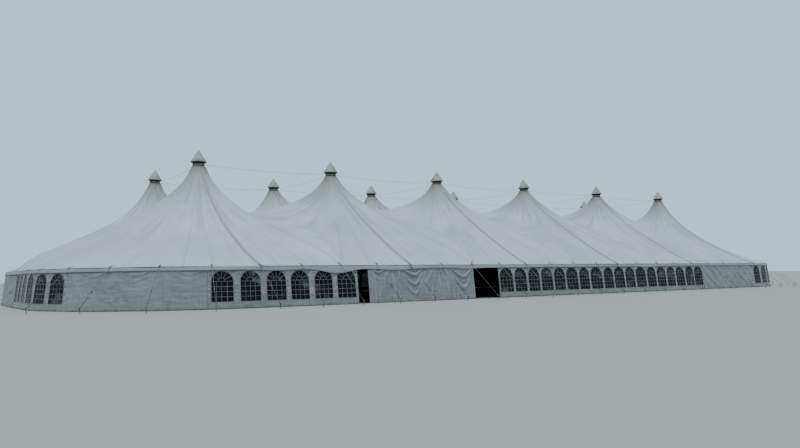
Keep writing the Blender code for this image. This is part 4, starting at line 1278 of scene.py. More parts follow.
# Hats that stand askew, with their leans about X and Y in degrees.
HAT_LEANS = {
    "front_1": (0.0, 0.4),
    "front_3": (0.9, -2.4),
    "front_4": (-0.6, -3.4),
    "back_1": (1.0, 2.2),
    "back_3": (0.8, 1.2),
}
COLLAR_RADIUS = 0.2
COLLAR_LOW = 4.55
COLLAR_TOP = 4.67
COLLAR_PROFILE = (
    (0, COLLAR_LOW),
    (COLLAR_RADIUS, COLLAR_LOW),
    (COLLAR_RADIUS - 0.006, (COLLAR_LOW + COLLAR_TOP) / 2),
    (COLLAR_RADIUS + 0.004, COLLAR_TOP),
    (0, COLLAR_TOP),
)


def hat_profiles():
    """Profiles of a hat's inside, from its neck to its rim, and of its outside, from the rim to the tip."""
    edge = HAT_RIM_HEIGHT - HAT_LIP_RADIUS
    inner = [(0, HAT_NECK_HEIGHT - 0.04), (HAT_NECK_RADIUS, HAT_NECK_HEIGHT - 0.045)]
    inner += [(HAT_RIM_RADIUS - HAT_WALL, HAT_RIM_HEIGHT + 0.008), (HAT_RIM_RADIUS - 0.008, edge)]
    outer = [(HAT_RIM_RADIUS, edge), (HAT_RIM_RADIUS, HAT_RIM_HEIGHT + HAT_LIP)]
    for share, pull in HAT_HOLLOWS:
        radius = HAT_NECK_RADIUS + (HAT_RIM_RADIUS - HAT_NECK_RADIUS) * share * pull
        height = HAT_RIM_HEIGHT + HAT_LIP + (HAT_NECK_HEIGHT - HAT_RIM_HEIGHT - HAT_LIP) * (1 - share)
        outer.append((radius, height))
    outer += [(HAT_NECK_RADIUS, HAT_NECK_HEIGHT), (0.012, HAT_NECK_HEIGHT + 0.006)]
    outer += [(0.01, HAT_TIP_HEIGHT - 0.012), (0.0045, HAT_TIP_HEIGHT), (0, HAT_TIP_HEIGHT)]
    return inner, outer


def hat_paint_material():
    """Old pale paint on sheet metal: chalky, dirty above the lip and rusty near the spike."""
    material, tree, surface = new_material("hat_paint")
    vector = object_vector(tree)
    up = axes(tree, vector)["Z"]
    patches = blotched(tree, vector, 4.0, 28.0)
    runs = rain_runs(tree, vector, (26.0, 26.0, 2.5), rise(tree, up, HAT_RIM_HEIGHT, HAT_NECK_HEIGHT), 0.55)
    tints = (
        (fall(tree, up, HAT_RIM_HEIGHT, HAT_RIM_HEIGHT + 0.07), 0.55, (0.2, 0.2, 0.18)),
        (runs, 0.7, (0.25, 0.18, 0.11)),
        (patches["Speck"], 0.35, (0.24, 0.2, 0.15)),
    )
    base = mixed_colour(tree, patches["Blotch"], (0.42, 0.455, 0.44), (0.31, 0.345, 0.33))
    base = tinted(tree, base, tints)
    cover(tree, surface, base, times(tree, patches["Blotch"], 0.2, 0.5), patches["Height"], 0.002, 0.4)
    return material


def collar_material():
    """Sacking bound round the open ring: black in the shade of the hat, stained with rust below it."""
    material, tree, surface = new_material("ring_collar", Roughness=0.85, Specular_IOR_Level=0.2)
    vector = object_vector(tree)
    patches = blotched(tree, vector, 7.0, 45.0)
    ragged = times(tree, patches["Height"], 0.02, axes(tree, vector)["Z"])
    in_shade = rise(tree, ragged, COLLAR_LOW + 0.045, COLLAR_LOW + 0.07)
    base = mixed_colour(tree, patches["Blotch"], (0.42, 0.41, 0.34), (0.3, 0.28, 0.22))
    base = mixed_colour(tree, patches["Speck"], base, (0.18, 0.13, 0.08))
    base = mixed_colour(tree, in_shade, base, (0.035, 0.03, 0.026))
    cover(tree, surface, base, None, patches["Height"], 0.003, 0.6)
    return material


HAT_PAINT = hat_paint_material()
RING_COLLAR = collar_material()
# Painted shade: the inside of each hat is painted near black, the shade under the hat.
HAT_INSIDE_PAINTED_SHADE = zinc_material(
    "hat_inside_painted_shade", (0.075, 0.066, 0.055), (0.04, 0.036, 0.03), (0.11, 0.065, 0.035), 0.5
)
inner, outer = hat_profiles()
for pole_name, place in KING_POLES.items():
    cone = turned_shape("cone", inner + outer, HAT_SIDES, place, HAT_PAINT)
    cone.data.materials.append(HAT_INSIDE_PAINTED_SHADE)
    inner_faces = HAT_SIDES * (len(inner) - 1)
    marks = [1 if i < inner_faces else 0 for i in range(len(cone.data.polygons))]
    cone.data.polygons.foreach_set("material_index", marks)
    seam_lines = list(zip(*(circle(place, radius, height, HAT_GORES) for radius, height in outer[1:5])))
    lip_height = HAT_RIM_HEIGHT + HAT_LIP_INSET
    lip_radius = HAT_RIM_RADIUS - HAT_LIP_INSET
    parts = [
        cone,
        ropes("seams", seam_lines, HAT_SEAM_RADIUS, HAT_SEAM_SIDES, HAT_PAINT),
        ring_tube(
            "lip", place, lip_height, lip_radius, HAT_LIP_RADIUS, HAT_PAINT, HAT_LIP_SIDES, HAT_LIP_AROUND
        ),
        turned_shape("collar", COLLAR_PROFILE, HAT_SIDES, place, RING_COLLAR),
    ]
    hat = joined(f"pole_hat_{pole_name}_cone", parts)
    lean_x, lean_y = HAT_LEANS.get(pole_name, (0.0, 0.0))
    pivot = Matrix.Translation((*place, HAT_NECK_HEIGHT - HAT_PIVOT_DROP))
    lean = Matrix.Rotation(math.radians(lean_x), 4, "X") @ Matrix.Rotation(math.radians(lean_y), 4, "Y")
    hat.data.transform(pivot @ lean @ pivot.inverted())
    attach(hat, "root")
    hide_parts(f"pole_hat_{pole_name}")

# Side walls. Sheets of coated cloth hang from the eave rail to the ground and flare outward to their pegged
# foot. Some are taut, some gathered or in swags, and five have arched windows bound with a folded edge.
WALL_SHEET_THICKNESS = 0.003
WALL_FOOT = 0.002
WALL_ROWS_LOW = 14
WALL_ROWS_HIGH = 8
WALL_COLUMN = 0.04
WINDOW_WIDTH = 0.575
WINDOW_SILL = 0.19
WINDOW_SPRING = 0.725
WINDOW_RISE = 0.275
WINDOW_RINGS = 6
WINDOW_STEPS_ACROSS = 12
WINDOW_STEPS_ABOVE = 16
SEAM_GAP = 0.0006
CORNER_END = ROW_HALF + CORNER_LENGTH
LEFT_WINDOWS_START = 3.05 - CORNER_END - END_LENGTH
LEFT_WINDOWS_END = -ROW_HALF - CORNER_LENGTH * 60 / 90
FRONT_WINDOWS_START = -13.91
DOOR_ONE_START = -9.47
DOOR_ONE_END = -9.1
DOOR_TWO_START = -4.98
DOOR_TWO_END = -3.865
FRONT_WINDOWS_END = 8.2
CORNER_WINDOWS_START = 12.3
CORNER_WINDOWS_END = 17.0
BACK_MIDDLE = PERIMETER / 2
BACK_WINDOWS_HALF = 6.0
BACK_WINDOWS_START = BACK_MIDDLE - BACK_WINDOWS_HALF
BACK_WINDOWS_END = BACK_MIDDLE + BACK_WINDOWS_HALF
# Depths of the folds in each style of wall, and the rows and column width of a plain wall's mesh.
FOLD_STYLES = {
    "taut": {"swag": 0.009, "gather": 0.002, "slant": 0.005, "rows": 30, "column": WALL_COLUMN},
    "windowed": {"swag": 0.005, "gather": 0.003, "slant": 0.004},
    "curtain": {"swag": 0.042, "gather": 0.006, "slant": 0.006, "rows": 62, "column": 0.02},
    "slanting": {"swag": 0.01, "gather": 0.003, "slant": 0.034, "rows": 45, "column": 0.028},
    "bunched": {"swag": 0.01, "gather": 0.026, "slant": 0.016, "rows": 45, "column": 0.028},
}
# Each wall: where it starts and ends along the eave, how many windows it has, and its style of folds.
WALLS = {
    "wall_left_drape": (-CORNER_END - END_LENGTH, LEFT_WINDOWS_START, 0, "bunched"),
    "wall_left_windows": (LEFT_WINDOWS_START, LEFT_WINDOWS_END, 6, "windowed"),
    "wall_front_left_corner": (LEFT_WINDOWS_END, FRONT_WINDOWS_START, 0, "taut"),
    "wall_front_left_windows": (FRONT_WINDOWS_START, DOOR_ONE_START, 6, "windowed"),
    "wall_front_curtain": (DOOR_ONE_END, DOOR_TWO_START, 0, "curtain"),
    "wall_front_right_windows": (DOOR_TWO_END, FRONT_WINDOWS_END, 18, "windowed"),
    "wall_front_right_plain": (FRONT_WINDOWS_END, CORNER_WINDOWS_START, 0, "slanting"),
    "wall_right_corner_windows": (CORNER_WINDOWS_START, CORNER_WINDOWS_END, 6, "windowed"),
    "wall_right_end": (CORNER_END, CORNER_END + END_LENGTH, 0, "taut"),
    "wall_back_right_corner": (CORNER_END + END_LENGTH, BACK_MIDDLE - ROW_HALF, 0, "taut"),
    "wall_back_right_plain": (BACK_MIDDLE - ROW_HALF, BACK_WINDOWS_START, 0, "slanting"),
    "wall_back_windows": (BACK_WINDOWS_START, BACK_WINDOWS_END, 18, "windowed"),
    "wall_back_left_plain": (BACK_WINDOWS_END, BACK_MIDDLE + ROW_HALF, 0, "taut"),
    "wall_back_left_corner": (BACK_MIDDLE + ROW_HALF - PERIMETER, -CORNER_END - END_LENGTH, 0, "taut"),
}
CURTAIN_SWAGS = (
    (-9.04, -8.43, 0.55, 0.15, 0.4),
    (-7.95, -7.03, 0.6, 0.21, 1.0),
    (-6.0, -4.99, 0.58, 0.25, 1.05),
)
# Fans of folds in the curtain: where each hangs, and how many folds it has.
CURTAIN_FANS = ((-8.25, 6), (-6.45, 9))
FAN_DEPTH = 0.016
FAN_REACH = 0.5
SWAG_DROP = 0.13
SWAG_HANGER_GAP = 0.1
SHORTEST_FOLD = 0.11
GATHER_WIDTH = 0.2
NARROW_GATHER_WIDTH = 0.125
SLANT_WIDTH = 0.49
NARROW_SLANT_WIDTH = 0.23
FOOT_SWAY = 0.012
FOOT_RIPPLE = 0.006
RUN_WANDER = 0.045
WINDOW_WANDER = 0.028
FOLD_HOLD_LOW = 0.95
FOLD_HOLD_HIGH = 1.05
LEAST_STAND = 0.002
HOLLOW_REACH = 0.035
HOLLOW_DEPTH = 0.007


def cloth_end(wall):
    """Where a wall's cloth ends: the one at the right corner runs on plain past its last window."""
    return CORNER_END if wall == "wall_right_corner_windows" else WALLS[wall][1]


def swags(distance, down, spans, shake):
    """Nested folds that droop between the points where the cloth hangs, from -1 to 1.

    Each span is its left and right hanger, the share of it where it hangs lowest, the drop from fold to
    fold, and how far down the folds go.
    """
    total = np.zeros(len(distance))
    for left, right, lowest, drop, deepest in spans:
        share = np.clip((distance - left) / (right - left), 0, 1)
        turned = np.where(share < lowest, share / (2 * lowest), 0.5 + (share - lowest) / (2 * (1 - lowest)))
        bow = np.sin(math.pi * turned)
        depth = down / (bow + 0.05)
        steep = down * math.pi * np.abs(np.cos(math.pi * turned)) / ((right - left) * (bow + 0.05) ** 2)
        calm = 1 / (1 + (SHORTEST_FOLD * steep / drop) ** 2)
        wave = np.sin(2 * math.pi * (depth / drop) ** 0.85 + 1.2 * shake)
        fade = np.clip(depth / 0.05, 0, 1) * np.clip((1.1 * deepest - depth) / (0.4 * deepest), 0, 1)
        total += wave * fade * calm * np.clip(2.5 * bow, 0, 1)
    return total


def fans(distance, down, centres, shake):
    """Folds that spread downward from single points on the rail, from -1 to 1."""
    total = np.zeros(len(distance))
    for centre, count in centres:
        angle = np.arctan2(distance - centre, down + 0.15)
        fade = np.exp(-(((distance - centre) / FAN_REACH) ** 2)) * np.clip(down / 0.25, 0, 1)
        total += np.sin(2 * count * angle + 0.9 * shake) * fade
    return total


def bay_swags(distance):
    """Small swags between the side poles, one to each bay, for every wall but the curtain."""
    first = math.floor((distance.min() + ROW_HALF) / SIDE_POLE_PITCH)
    last = math.ceil((distance.max() + ROW_HALF) / SIDE_POLE_PITCH)
    spans = []
    for bay in range(first, last + 1):
        left = bay * SIDE_POLE_PITCH - ROW_HALF
        right = left + SIDE_POLE_PITCH
        lowest = 0.5 + 0.18 * math.sin(4.7 * bay)
        deepest = 0.33 + 0.12 * math.sin(7.9 * bay)
        spans.append((left + SWAG_HANGER_GAP, right - SWAG_HANGER_GAP, lowest, SWAG_DROP, deepest))
    return spans


def folds(distance, height, style, seed):
    """How far the hanging cloth stands out from its resting plane, by swags, gathers and slanting folds."""
    depths = FOLD_STYLES[style]
    down = np.clip(RAIL_TOP - height, 0, RAIL_TOP)
    low = down / RAIL_TOP
    shake = smooth_noise(distance * 1.1, height * 1.4, seed)
    spans = CURTAIN_SWAGS if style == "curtain" else bay_swags(distance)
    total = depths["swag"] * swags(distance, down, spans, shake)
    if style == "curtain":
        total += FAN_DEPTH * fans(distance, down, CURTAIN_FANS, shake)
    gathered = distance / GATHER_WIDTH + 0.45 * smooth_noise(distance * 1.7, height * 0.9, seed + 1)
    bunch = np.sin(2 * math.pi * gathered)
    bunch += 0.5 * np.sin(2 * math.pi * (distance / NARROW_GATHER_WIDTH + 0.3 * shake))
    total += depths["gather"] * bunch * (0.4 + 0.6 * low)
    way = smooth_noise(distance * 0.5, 0 * height, seed + 2)
    lean = 0.8 + 0.25 * way
    across = distance + lean * height + 0.06 * smooth_noise(distance * 2.3, height * 2.3, seed + 3)
    strong = np.clip(0.6 + 0.8 * smooth_noise(distance * 0.9, height * 1.1, seed + 4), 0.25, 1)
    slanting = np.sin(2 * math.pi * across / SLANT_WIDTH + 1.3 * way)
    slanting += 0.35 * np.sin(2 * math.pi * across / NARROW_SLANT_WIDTH + 2.5 * shake)
    total += depths["slant"] * slanting * strong
    total += FOOT_SWAY * smooth_noise(distance * 3.1, 0 * height, seed + 5) * low**5
    total += FOOT_RIPPLE * smooth_noise(distance * 8.7, 0 * height, seed + 6) * low**8
    hold = np.clip((FOLD_HOLD_HIGH - height) / (FOLD_HOLD_HIGH - FOLD_HOLD_LOW), 0, 1)
    total = total * hold * hold * (3 - 2 * hold) + LEAST_STAND
    return 0.5 * (total + np.sqrt(total**2 + LEAST_STAND**2)) - LEAST_STAND


def wall_seed(name):
    return 400 + 10 * list(WALLS).index(name)


def hollows(distance, height, name):
    """Where the folds of a wall lie behind their surroundings: 0 on ridges, 1 in hollows."""
    here, *around = (
        folds(distance + across * HOLLOW_REACH, height + up * HOLLOW_REACH, WALLS[name][3], wall_seed(name))
        for across, up in ((0, 0), (1, 0), (-1, 0), (0, 1), (0, -1))
    )
    return np.clip(0.5 + (sum(around) / 4 - here) / HOLLOW_DEPTH, 0, 1)


def crumples(distance, height, name):
    """How crumpled the cloth of a wall is, from 0 to 1: mostly in the strips between windows."""
    patchy = smooth_noise(distance * 1.35, 0.8 * height, wall_seed(name) + 9)
    _, end, windows, _ = WALLS[name]
    share = 0.12 + 0.3 * patchy
    if windows:
        share = np.where(distance < end, 0.8 + 0.6 * patchy, share)
    fade = np.clip((height - 0.12) / 0.2, 0, 1) * np.clip((1.08 - height) / 0.1, 0, 1)
    return np.clip(share, 0, 1) * fade


def on_wall(flat, name, lift=0.0):
    """Places on a wall of flat points (distance, height), lifted off the cloth's outer face."""
    start, end, windows, style = WALLS[name]
    seed = wall_seed(name)
    distance, height = np.asarray(flat, float).T
    inside = np.clip(np.minimum(distance - start, end - distance) / 0.4, 0, 1)
    shifted = distance
    if windows:
        shift = RUN_WANDER * smooth_noise(distance * 1.15, 0 * distance, seed + 7)
        shift += WINDOW_WANDER * smooth_noise(distance * 2.6, 0 * distance, seed + 8)
        shifted = distance + inside * shift
    outset = WALL_SLOPE * (RAIL_TOP - height) + folds(distance, height, style, seed) + lift
    return eave_places(shifted, outset, height)


def wall_levels():
    low = np.linspace(WALL_FOOT, WINDOW_SPRING, WALL_ROWS_LOW + 1)
    high = np.linspace(WINDOW_SPRING, RAIL_TOP, WALL_ROWS_HIGH + 1)
    return np.concatenate([low, high[1:]])


def plain_cloth(start, end, levels, column=WALL_COLUMN):
    """Flat grid of points and faces between two distances."""
    columns = max(1, round((end - start) / column))
    points = np.array([(x, z) for x in np.linspace(start, end, columns + 1) for z in levels])
    return points, grid_faces(columns + 1, len(levels), False)


def window_hole(middle):
    """Points round a window's hole, from its lower left corner anticlockwise."""
    half = WINDOW_WIDTH / 2
    levels = np.linspace(WINDOW_SILL, WINDOW_SPRING, WALL_ROWS_LOW + 1)
    turns = np.linspace(0, math.pi, 2 * WALL_ROWS_HIGH + WINDOW_STEPS_ABOVE + 1)
    bottom = [(x, WINDOW_SILL) for x in np.linspace(middle - half, middle + half, WINDOW_STEPS_ACROSS + 1)]
    right = [(middle + half, z) for z in levels]
    arch = [(middle + half * math.cos(a), WINDOW_SPRING + WINDOW_RISE * math.sin(a)) for a in turns]
    left = [(middle - half, z) for z in levels[::-1]]
    return np.array(bottom[:-1] + right[:-1] + arch[:-1] + left[:-1])


def window_cloth(start, end, middle):
    """Flat cloth round one window: rings of points from the cell's edge in to the hole."""
    levels = wall_levels()
    bottom = [(x, WALL_FOOT) for x in np.linspace(start, end, WINDOW_STEPS_ACROSS + 1)]
    right = [(end, z) for z in levels]
    top = [(x, RAIL_TOP) for x in np.linspace(end, start, WINDOW_STEPS_ABOVE + 1)]
    left = [(start, z) for z in levels[::-1]]
    outer = np.array(bottom[:-1] + right[:-1] + top[:-1] + left[:-1])
    share = np.linspace(0, 1, WINDOW_RINGS + 1)[None, :, None]
    rings = outer[:, None] * (1 - share) + window_hole(middle)[:, None] * share
    points = np.concatenate([rings, rings[:1]])
    return points.reshape(-1, 2), grid_faces(len(points), WINDOW_RINGS + 1, False)[:, ::-1]


def hung_sheet(name, wall, patches, thickness, material, lift=0.0):
    """Sheet hung along the eave from flat patches of (points, faces)."""
    flat, kept, _, faces = welded(patches)
    flat = flat[kept]
    distance, height = flat.T
    # hollow serves the wall material's painted shade in fold hollows and painted highlight on ridges.
    marks = {"hollow": hollows(distance, height, wall), "crumpled": crumples(distance, height, wall)}
    places = on_wall(flat, wall, lift)
    return sheet_object(name, places, faces, "flat_cloth", flat[faces.ravel()], marks, material, thickness)


def crumples_group():
    """Sharp small folds across the fall of a cloth: their lit sides, their shaded sides and their height."""
    group, given = shader_group("cloth_crumples", {"Vector": (0, 0, 0)})
    height = stretched_noise(group, given["Vector"], (3.6, 10.0, 1.0), 1.5, 0.5)
    lit, shaded = (
        math_node(group, "SUBTRACT", rise(group, height, start, top), rise(group, height, top_end, end))
        for start, top, top_end, end in ((0.46, 0.55, 0.55, 0.66), (0.34, 0.43, 0.43, 0.5))
    )
    return end_group(group, {"Lit": lit, "Shaded": shaded, "Height": height})


CLOTH_CRUMPLES = crumples_group()


def wall_cloth_material():
    """Off-white coated wall cloth, painted darker grey as painted shade of the upright walls: streaked by
    rain, soiled at the foot, with a sewn hem and seams, painted shade in fold hollows, wrinkles and under the
    valance, painted highlight on ridges.
    """
    material, tree, surface = new_material("wall_canvas", Sheen_Weight=0.15)
    vector = add_node(tree, "ShaderNodeUVMap", uv_map="flat_cloth").outputs["UV"]
    split = axes(tree, vector)
    height = split["Y"]
    patches = blotched(tree, vector, 1.1, 12.0)
    runs = rain_runs(tree, vector, (11.0, 0.9, 1.0), fall(tree, height, 0.1, 1.2), 0.5)
    splash = stretched_noise(tree, vector, (4.0, 9.0, 1.0), 5.0, 0.65)
    soil = fall(tree, height, 0.0, times(tree, splash, 0.3, -0.05))
    hem = fall(tree, height, 0.034, 0.04)
    seam = seam_mask(tree, math_node(tree, "DIVIDE", split["X"], 0.75), 0.48, 0.494)
    wrinkles = stretched_noise(tree, vector, (2.6, 13.0, 1.0), 3.0, 0.55)
    wrinkle_highlight = rise(tree, math_node(tree, "SUBTRACT", 1.0, wrinkles), 0.52, 0.64)
    hollow, crumpled = (
        add_node(tree, "ShaderNodeAttribute", attribute_name=label).outputs["Fac"]
        for label in ("hollow", "crumpled")
    )
    crumple = use_group(tree, CLOTH_CRUMPLES, {"Vector": vector})
    tints = (
        # Painted highlight on the ridges of the folds and painted shade in their hollows.
        (fall(tree, hollow, 0.05, 0.5), 0.5, (0.42, 0.465, 0.48)),
        (rise(tree, hollow, 0.5, 0.95), 0.6, (0.14, 0.165, 0.165)),
        # Painted shade on the wrinkles and painted highlight between them.
        (rise(tree, wrinkles, 0.52, 0.64), 0.4, (0.17, 0.195, 0.195)),
        (wrinkle_highlight, 0.35, (0.4, 0.44, 0.45)),
        (times(tree, crumple["Lit"], crumpled), 0.7, (0.46, 0.5, 0.515)),
        (times(tree, crumple["Shaded"], crumpled), 0.6, (0.12, 0.14, 0.14)),
        (runs, 0.45, (0.2, 0.22, 0.2)),
        (patches["Speck"], 0.12, (0.17, 0.185, 0.17)),
        (soil, 0.62, (0.17, 0.165, 0.13)),
        (seam, 0.25, (0.19, 0.21, 0.2)),
        # Painted shade at the top of the wall, under the valance.
        (rise(tree, height, 0.93, 1.05), 0.45, (0.13, 0.15, 0.14)),
    )
    # Painted shade: the base is a darker grey than the roof canvas, for the shade on the upright walls.
    base = mixed_colour(tree, patches["Blotch"], (0.27, 0.32, 0.315), (0.22, 0.27, 0.265))
    base = tinted(tree, base, tints)
    raised = math_node(tree, "ADD", seam, hem)
    for relief, share in (
        (woven(tree, vector, 900.0), 0.05),
        (wrinkles, 4.5),
        (patches["Height"], 0.4),
        (times(tree, crumple["Height"], crumpled), 16.0),
    ):
        raised = times(tree, relief, share, raised)
    cover(tree, surface, base, times(tree, patches["Blotch"], 0.15, 0.52), raised, 0.003, 0.5)
    return material


WALL_CANVAS = wall_cloth_material()


def window_cells(wall):
    """Start, end and window middle of each windowed cell of a wall."""
    start, end, windows, _ = WALLS[wall]
    pitch = (end - start) / max(windows, 1)
    return [(start + pitch * i, start + pitch * (i + 1), start + pitch * (i + 0.5)) for i in range(windows)]


for name, (start, end, windows, style) in WALLS.items():
    patches = []
    stop = cloth_end(name)
    for cell_start, cell_end, middle in window_cells(name):
        cell_start += SEAM_GAP if cell_start == start else 0
        cell_end -= SEAM_GAP if cell_end == end == stop else 0
        patches.append(window_cloth(cell_start, cell_end, middle))
    if not windows:
        levels = np.linspace(WALL_FOOT, RAIL_TOP, FOLD_STYLES[style]["rows"])
        patches.append(plain_cloth(start + SEAM_GAP, end - SEAM_GAP, levels, FOLD_STYLES[style]["column"]))
    elif stop > end:
        patches.append(plain_cloth(end, stop - SEAM_GAP, wall_levels()))
    cloth = hung_sheet(f"{name}_cloth", name, patches, WALL_SHEET_THICKNESS, WALL_CANVAS)
    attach(cloth, "root")
    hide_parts(name)

# Windows. Clear film, clouded by damp, is sewn behind the arches, one strip to a run and two to the left one.
# White bars are welded to it in a grid with a half round hub and rays above; a folded tape binds the arch.
FILM_SHEET_THICKNESS = 0.0015
FILM_LIFT = -WALL_SHEET_THICKNESS - 0.0055
FILM_LOW = 0.16
FILM_HIGH = 1.03
FILM_ROWS = 22
FILM_COLUMN = 0.048
BAR_LIFT = -0.0045
BAR_WIDTH = 0.0078
BAR_THICKNESS = 0.0014
BINDING_LIFT = 0.0015
BINDING_WIDTH = 0.024
BINDING_THICKNESS = 0.002
BINDING_OVERLAP = 0.3
COLUMNS_IN_WINDOW = 4
ROWS_IN_WINDOW = 4
HUB_RADIUS = 0.1
RAYS_IN_ARCH = 5
UPRIGHT_POINTS = 5
CROSSBAR_POINTS = 6
HUB_POINTS = 11
RAY_POINTS = 3
# Each film: its wall, and where it starts and ends along the eave.
FILMS = {
    "film_left_end_windows": ("wall_left_windows", LEFT_WINDOWS_START, -CORNER_END),
    "film_left_corner_windows": ("wall_left_windows", -CORNER_END, LEFT_WINDOWS_END),
    "film_front_left_windows": ("wall_front_left_windows", FRONT_WINDOWS_START, DOOR_ONE_START),
    "film_front_right_windows": ("wall_front_right_windows", DOOR_TWO_END, FRONT_WINDOWS_END),
    "film_right_corner_windows": ("wall_right_corner_windows", CORNER_WINDOWS_START, CORNER_WINDOWS_END),
    "film_back_windows": ("wall_back_windows", BACK_WINDOWS_START, BACK_WINDOWS_END),
}


def film_material():
    """Clear flexible film, painted near black and nearly opaque as painted shade of the dark inside behind
    it: glossy, hazed in patches and a little rippled.
    """
    material, tree, surface = new_material("clear_film_sheet", IOR=1.4, Specular_IOR_Level=0.22)
    vector = add_node(tree, "ShaderNodeUVMap", uv_map="flat_cloth").outputs["UV"]
    cloudy = rise(tree, stretched_noise(tree, vector, (1.7, 2.2, 1.0), 4.0, 0.6), 0.53, 0.7)
    drips = rain_runs(tree, vector, (20.0, 1.6, 1.0), 0.25, 0.42)
    ripple = stretched_noise(tree, vector, (3.0, 1.6, 1.0), 2.0, 0.5)
    dull = math_node(tree, "MAXIMUM", cloudy, times(tree, drips, 0.5))
    # Painted shade: the film is near black and nearly opaque, standing for the dark inside behind it; the
    # haze is lighter.
    colour = mixed_colour(tree, dull, (0.008, 0.013, 0.014), (0.11, 0.14, 0.15))
    cover(tree, surface, colour, times(tree, dull, 0.28, 0.12), ripple, 0.02, 0.35)
    feed(tree, surface.inputs["Alpha"], times(tree, dull, 0.12, 0.84))
    return material


CLEAR_FILM = film_material()
BAR_WHITE, bar_tree, bar_surface = new_material("window_bar_tape", Roughness=0.5)
bar_patches = blotched(bar_tree, object_vector(bar_tree), 2.0, 30.0)
bar_colour = mixed_colour(bar_tree, bar_patches["Blotch"], (0.3, 0.34, 0.345), (0.2, 0.235, 0.235))
cover(bar_tree, bar_surface, bar_colour, None, bar_patches["Height"], 0.0005, 0.4)

for name, (wall, start, end) in FILMS.items():
    levels = np.linspace(FILM_LOW, FILM_HIGH, FILM_ROWS)
    patch = plain_cloth(start + SEAM_GAP, end - SEAM_GAP, levels, FILM_COLUMN)
    film = hung_sheet(f"{name}_sheet", wall, [patch], FILM_SHEET_THICKNESS, CLEAR_FILM, FILM_LIFT)
    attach(film, "root")
    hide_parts(name)


def window_bars(middle):
    """Flat paths of one window's bars: the grid below, and the hub and rays in the arch."""
    half = WINDOW_WIDTH / 2
    paths = []
    for column in range(1, COLUMNS_IN_WINDOW):
        x = middle - half + WINDOW_WIDTH * column / COLUMNS_IN_WINDOW
        paths.append([(x, z) for z in np.linspace(WINDOW_SILL, WINDOW_SPRING, UPRIGHT_POINTS)])
    for row in range(1, ROWS_IN_WINDOW + 1):
        z = WINDOW_SILL + (WINDOW_SPRING - WINDOW_SILL) * row / ROWS_IN_WINDOW
        paths.append([(x, z) for x in np.linspace(middle - half, middle + half, CROSSBAR_POINTS)])
    centre = np.array([middle, WINDOW_SPRING])
    ways = [np.array([math.cos(a), math.sin(a)]) for a in np.linspace(0, math.pi, HUB_POINTS)]
    paths.append([centre + HUB_RADIUS * way for way in ways])
    for ray in range(1, RAYS_IN_ARCH + 1):
        angle = math.pi * ray / (RAYS_IN_ARCH + 1)
        way = np.array([math.cos(angle), math.sin(angle)])
        reach = 1 / math.hypot(way[0] / half, way[1] / WINDOW_RISE)
        paths.append([centre + way * span for span in np.linspace(HUB_RADIUS, reach, RAY_POINTS)])
    return paths


def flat_straps(name, wall, paths, width, thickness, lift, material):
    """Tapes along flat paths, made flat and then laid on the wall."""
    lying = [[(x, z, 0.0) for x, z in path] for path in paths]
    tape = straps(name, lying, width, thickness, material)
    places = np.empty(3 * len(tape.data.vertices))
    tape.data.vertices.foreach_get("co", places)
    places = places.reshape(-1, 3)
    tape.data.vertices.foreach_set("co", on_wall(places[:, :2], wall, places[:, 2] + lift).ravel())
    return tape


for wall in [name for name, (_, _, windows, _) in WALLS.items() if windows]:
    bars, bindings = [], []
    for _, _, middle in window_cells(wall):
        bars += window_bars(middle)
        hole = window_hole(middle)
        outward = hole - (middle, (WINDOW_SILL + WINDOW_SPRING) / 2)
        outward /= np.linalg.norm(outward, axis=1)[:, None]
        edge = hole + outward * BINDING_WIDTH * BINDING_OVERLAP
        bindings.append([*edge, edge[0]])
    parts = [
        flat_straps("lattice", wall, bars, BAR_WIDTH, BAR_THICKNESS, BAR_LIFT, BAR_WHITE),
        flat_straps("binding", wall, bindings, BINDING_WIDTH, BINDING_THICKNESS, BINDING_LIFT, WALL_CANVAS),
    ]
    trim = joined(f"window_bars_{wall.removeprefix('wall_')}", parts)
    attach(trim, "root")

# Guys. From each side pole a webbing strap runs out to a ratchet that tightens it, and two dark straps go on
# from there to a steel peg. A band of the dark webbing is sewn along the eave outside the valance.
GUY_REACH = 1.2
GUY_WIDTH = 0.0125
GUY_LOW_WIDTH = 0.92 * GUY_WIDTH
GUY_THICKNESS = 0.0025
GUY_TOP_DROP = 0.014
GUY_LOW_BOWS = (0.003, -0.004)
GUY_LOW_STEP = 0.012
BAND_INSET = 0.0035
BAND_DROP = 0.016
BAND_HEIGHT = 0.02
BAND_OVERHANG = 0.02
BAND_STEPS_IN_BAY = 6
RATCHET_SHARE = 0.6
RATCHET_HALF_LENGTH = 0.032
RATCHET_HALF_WIDTH = GUY_WIDTH / 2 + 0.004
CHEEK_HALF_THICKNESS = 0.0015
CHEEK_LOW = -0.008
CHEEK_TOP = 0.01
DRUM_RADIUS = 0.009
DRUM_SIDES = 8
HANDLE_HALF_WIDTH = 0.8 * RATCHET_HALF_WIDTH
HANDLE_BOX = ((-0.03, -HANDLE_HALF_WIDTH, 0.009), (0.012, HANDLE_HALF_WIDTH, 0.013))
PEG_LENGTH = 0.16
PEG_LEAN = 0.35
PEG_HOLD = 0.035
PEG_SIDES = 10
PEG_PROFILE = (
    (0, 0),
    (0.009, 0),
    (0.0095, PEG_LENGTH - 0.02),
    (0.018, PEG_LENGTH - 0.014),
    (0.018, PEG_LENGTH - 0.005),
    (0.011, PEG_LENGTH),
    (0, PEG_LENGTH),
)
GUY_WEBBING = webbing_material("guy_webbing", (0.14, 0.155, 0.155), (0.1, 0.11, 0.105), (0.06, 0.06, 0.055))
RATCHET_STEEL = zinc_material("ratchet_steel", (0.2, 0.2, 0.2), (0.1, 0.1, 0.1), (0.16, 0.09, 0.05), 0.6)
PEG_STEEL = zinc_material("peg_steel", (0.22, 0.21, 0.2), (0.12, 0.11, 0.1), (0.2, 0.1, 0.05), 0.9)


